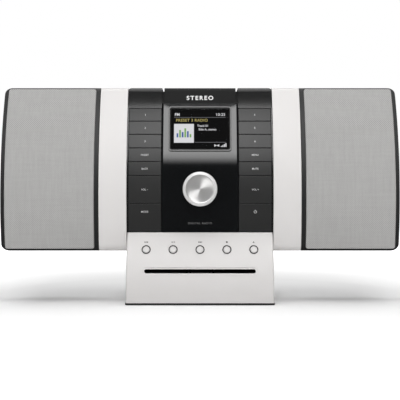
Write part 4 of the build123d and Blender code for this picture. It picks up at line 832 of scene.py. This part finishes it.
def make_knob():
    """The turned cap: a shallow dished face inside a bright bevelled rim, and a boss behind it."""
    back, top = span_along("knob_cap", knob_centre, knob_axis)
    radius = size_of("knob_cap").x / 2
    face = KNOB_FACE_RADIUS
    inside = radius - KNOB_WALL
    under = top - KNOB_THICKNESS
    profile = [
        (0.0, top - 0.45 * MM), (face * 0.35, top - 0.44 * MM), (face * 0.7, top - 0.41 * MM),
        (face - 0.8 * MM, top - 0.36 * MM), (face - 0.45 * MM, top - 0.3 * MM),
        (face - 0.1 * MM, top - 0.03 * MM), (face + 0.15 * MM, top),
        (face + 0.5 * MM, top - 0.12 * MM), (radius - 0.9 * MM, top - 1.15 * MM),
        (radius - 0.35 * MM, top - 1.55 * MM), (radius, top - 2.2 * MM),
        (radius, back + 0.7 * MM), (radius - 0.2 * MM, back + 0.25 * MM), (radius - 0.6 * MM, back),
        (inside, back), (inside, under), (BOSS_RADIUS, under), (BOSS_RADIUS, back),
        (SHAFT_RADIUS, back), (SHAFT_RADIUS, under), (0.0, under),
    ]
    points = []
    rings = profile[1:-1]
    for reach, height in rings:
        for step in range(KNOB_SEGMENTS):
            turn = 2 * pi * step / KNOB_SEGMENTS
            points.append((reach * cos(turn), reach * sin(turn), height))
    faces = [tuple(reversed(quad)) for quad in grid_faces(len(rings), KNOB_SEGMENTS, closed=True)]
    front = len(points)
    points += [(0, 0, profile[0][1]), (0, 0, profile[-1][1])]
    last = (len(rings) - 1) * KNOB_SEGMENTS
    for step in range(KNOB_SEGMENTS):
        beside = (step + 1) % KNOB_SEGMENTS
        faces.append((front, step, beside))
        faces.append((front + 1, last + beside, last + step))
    data = bpy.data.meshes.new("spun_knob")
    data.from_pydata(points, [], faces)
    data.polygons.foreach_set("use_smooth", [True] * len(data.polygons))
    data.materials.append(SPUN)
    data.materials.append(BLASTED)
    for facet in data.polygons[BEVEL_START * KNOB_SEGMENTS:BEVEL_END * KNOB_SEGMENTS]:
        facet.material_index = 1
    knob = add_object("spun_knob", data)
    turned = knob_axis.to_track_quat("Z", "Y").to_matrix().to_4x4()
    knob.matrix_world = Matrix.Translation(knob_centre) @ turned
    split = knob.modifiers.new("crisp_edges", "EDGE_SPLIT")
    split.split_angle = radians(50)
    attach(knob, "knob")
    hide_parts("knob_cap")


make_knob()


# ---- stage, lights and camera
def stage_plane(name, corners, finish):
    """A single staged face, which isn't part of the object."""
    data = bpy.data.meshes.new(name)
    data.from_pydata([tuple(corner) for corner in corners], [], [(0, 1, 2, 3)])
    piece = add_object(name, data)
    data.materials.append(finish)
    return piece


AROUND = ((-1, -1), (1, -1), (1, 1), (-1, 1))
FLOOR_REACH = 6.0
FLOOR_GLOW = 0.14
GLOW_START = 0.26
GLOW_WIDTH = 0.6


def pale_floor():
    """A white floor that glows gently away from the object, so that it never falls into grey."""
    finish = Finish("pale_floor", Specular_IOR_Level=0.0, Emission_Strength=1.0)
    across = finish.place().part("X")
    along = finish.place().part("Y")
    radius = (across * across + along * along) ** 0.5
    far = ((radius - GLOW_START) / GLOW_WIDTH).clamped()
    glow = finish.blend(FLOOR_GLOW + far * (1 - FLOOR_GLOW), (0, 0, 0), (0.9, 0.9, 0.9))
    finish.feed(finish.shader.inputs["Emission Color"], glow)
    finish.data.cycles.emission_sampling = "NONE"
    tone = finish.blend(finish.noise(3.0), (0.84, 0.84, 0.84), (0.85, 0.85, 0.85))
    return finish.surface(tone, 0.9)


corners = [(sx * FLOOR_REACH, sy * FLOOR_REACH, 0) for sx, sy in AROUND]
floor = stage_plane("floor", corners, pale_floor())
floor.visible_glossy = False

world = bpy.data.worlds.new("studio")
bpy.context.scene.world = world
world.use_nodes = True
tree = world.node_tree


def sky(strength):
    """An even white surround."""
    made = tree.nodes.new("ShaderNodeBackground")
    made.inputs["Color"].default_value = (1, 1, 1, 1)
    made.inputs["Strength"].default_value = strength
    return made


def chosen(factor, first, second):
    """The second shader where the factor is one, and the first one elsewhere."""
    mix = tree.nodes.new("ShaderNodeMixShader")
    tree.links.new(factor, mix.inputs[0])
    tree.links.new(first.outputs[0], mix.inputs[1])
    tree.links.new(second.outputs[0], mix.inputs[2])
    return mix


rays = tree.nodes.new("ShaderNodeLightPath")
DIFFUSE_SKY = 0.11
GLOSSY_SKY = 0.09
SEEN_SKY = 1.0
unseen = chosen(rays.outputs["Is Glossy Ray"], sky(DIFFUSE_SKY), sky(GLOSSY_SKY))
everything = chosen(rays.outputs["Is Camera Ray"], unseen, sky(SEEN_SKY))
tree.links.new(everything.outputs[0], tree.nodes["World Output"].inputs["Surface"])


def soft_box(name, place, target, width, height, power):
    """A rectangular area light that faces its target."""
    light = bpy.data.lights.new(name, "AREA")
    light.shape = "RECTANGLE"
    light.size = width
    light.size_y = height
    light.energy = power
    holder = add_object(name, light)
    holder.location = place
    holder.rotation_euler = (Vector(target) - Vector(place)).to_track_quat("-Z", "Y").to_euler()


def light_card(name, target, distance, low, high, half_width, radiance, fade):
    """A glowing card seen from the target between two elevations, fading in over its lower part."""
    finish = Finish(name)
    across = Vector((1, 0, 0))
    middle = radians((low + high) / 2)
    out = Vector((0, -cos(middle), sin(middle)))
    up = Vector((0, sin(middle), cos(middle)))
    centre = target + out * distance
    half = distance * tan(radians((high - low) / 2))
    corners = [centre + across * (sx * half_width) + up * (sy * half) for sx, sy in AROUND]
    settings = {"operation": "DOT_PRODUCT"}
    along = finish.raw("ShaderNodeVectorMath", settings, finish.place(), tuple(up))
    height = Shade(finish, along.outputs["Value"])
    ramp = ((height - (centre.dot(up) - half)) / (2 * half * fade)).clamped()
    glow = finish.raw("ShaderNodeEmission", {})
    finish.feed(glow.inputs["Color"], (1, 1, 1, 1))
    finish.feed(glow.inputs["Strength"], (ramp * ramp) * (3.0 - ramp * 2.0) * radiance)
    finish.tree.links.new(glow.outputs[0], finish.tree.nodes["Material Output"].inputs["Surface"])
    card = stage_plane(name, corners, finish.data)
    card.visible_camera = False
    card.visible_shadow = False


PANEL_SPOT = Vector((0, APEX_Y, 190 * MM))
light_card(
    "front_card", PANEL_SPOT, distance=1.9, low=14.5, high=46.3, half_width=0.4, radiance=7.2, fade=0.22
)
soft_box("top_box", place=(0, 0.1, 2.4), target=(0, 0, 0), width=3.4, height=2.8, power=60)

CAMERA_Z = 118 * MM
CAMERA_DISTANCE = 948 * MM
FOCAL_LENGTH = 74.7
SENSOR_WIDTH = 36
camera_data = bpy.data.cameras.new("camera")
camera_data.sensor_width = SENSOR_WIDTH
camera_data.lens = FOCAL_LENGTH
camera = add_object("camera", camera_data)
camera.location = (0, APEX_Y - CAMERA_DISTANCE, CAMERA_Z)
camera.rotation_euler = (pi / 2, 0, 0)
bpy.context.scene.camera = camera
bpy.context.scene.view_settings.view_transform = "Standard"
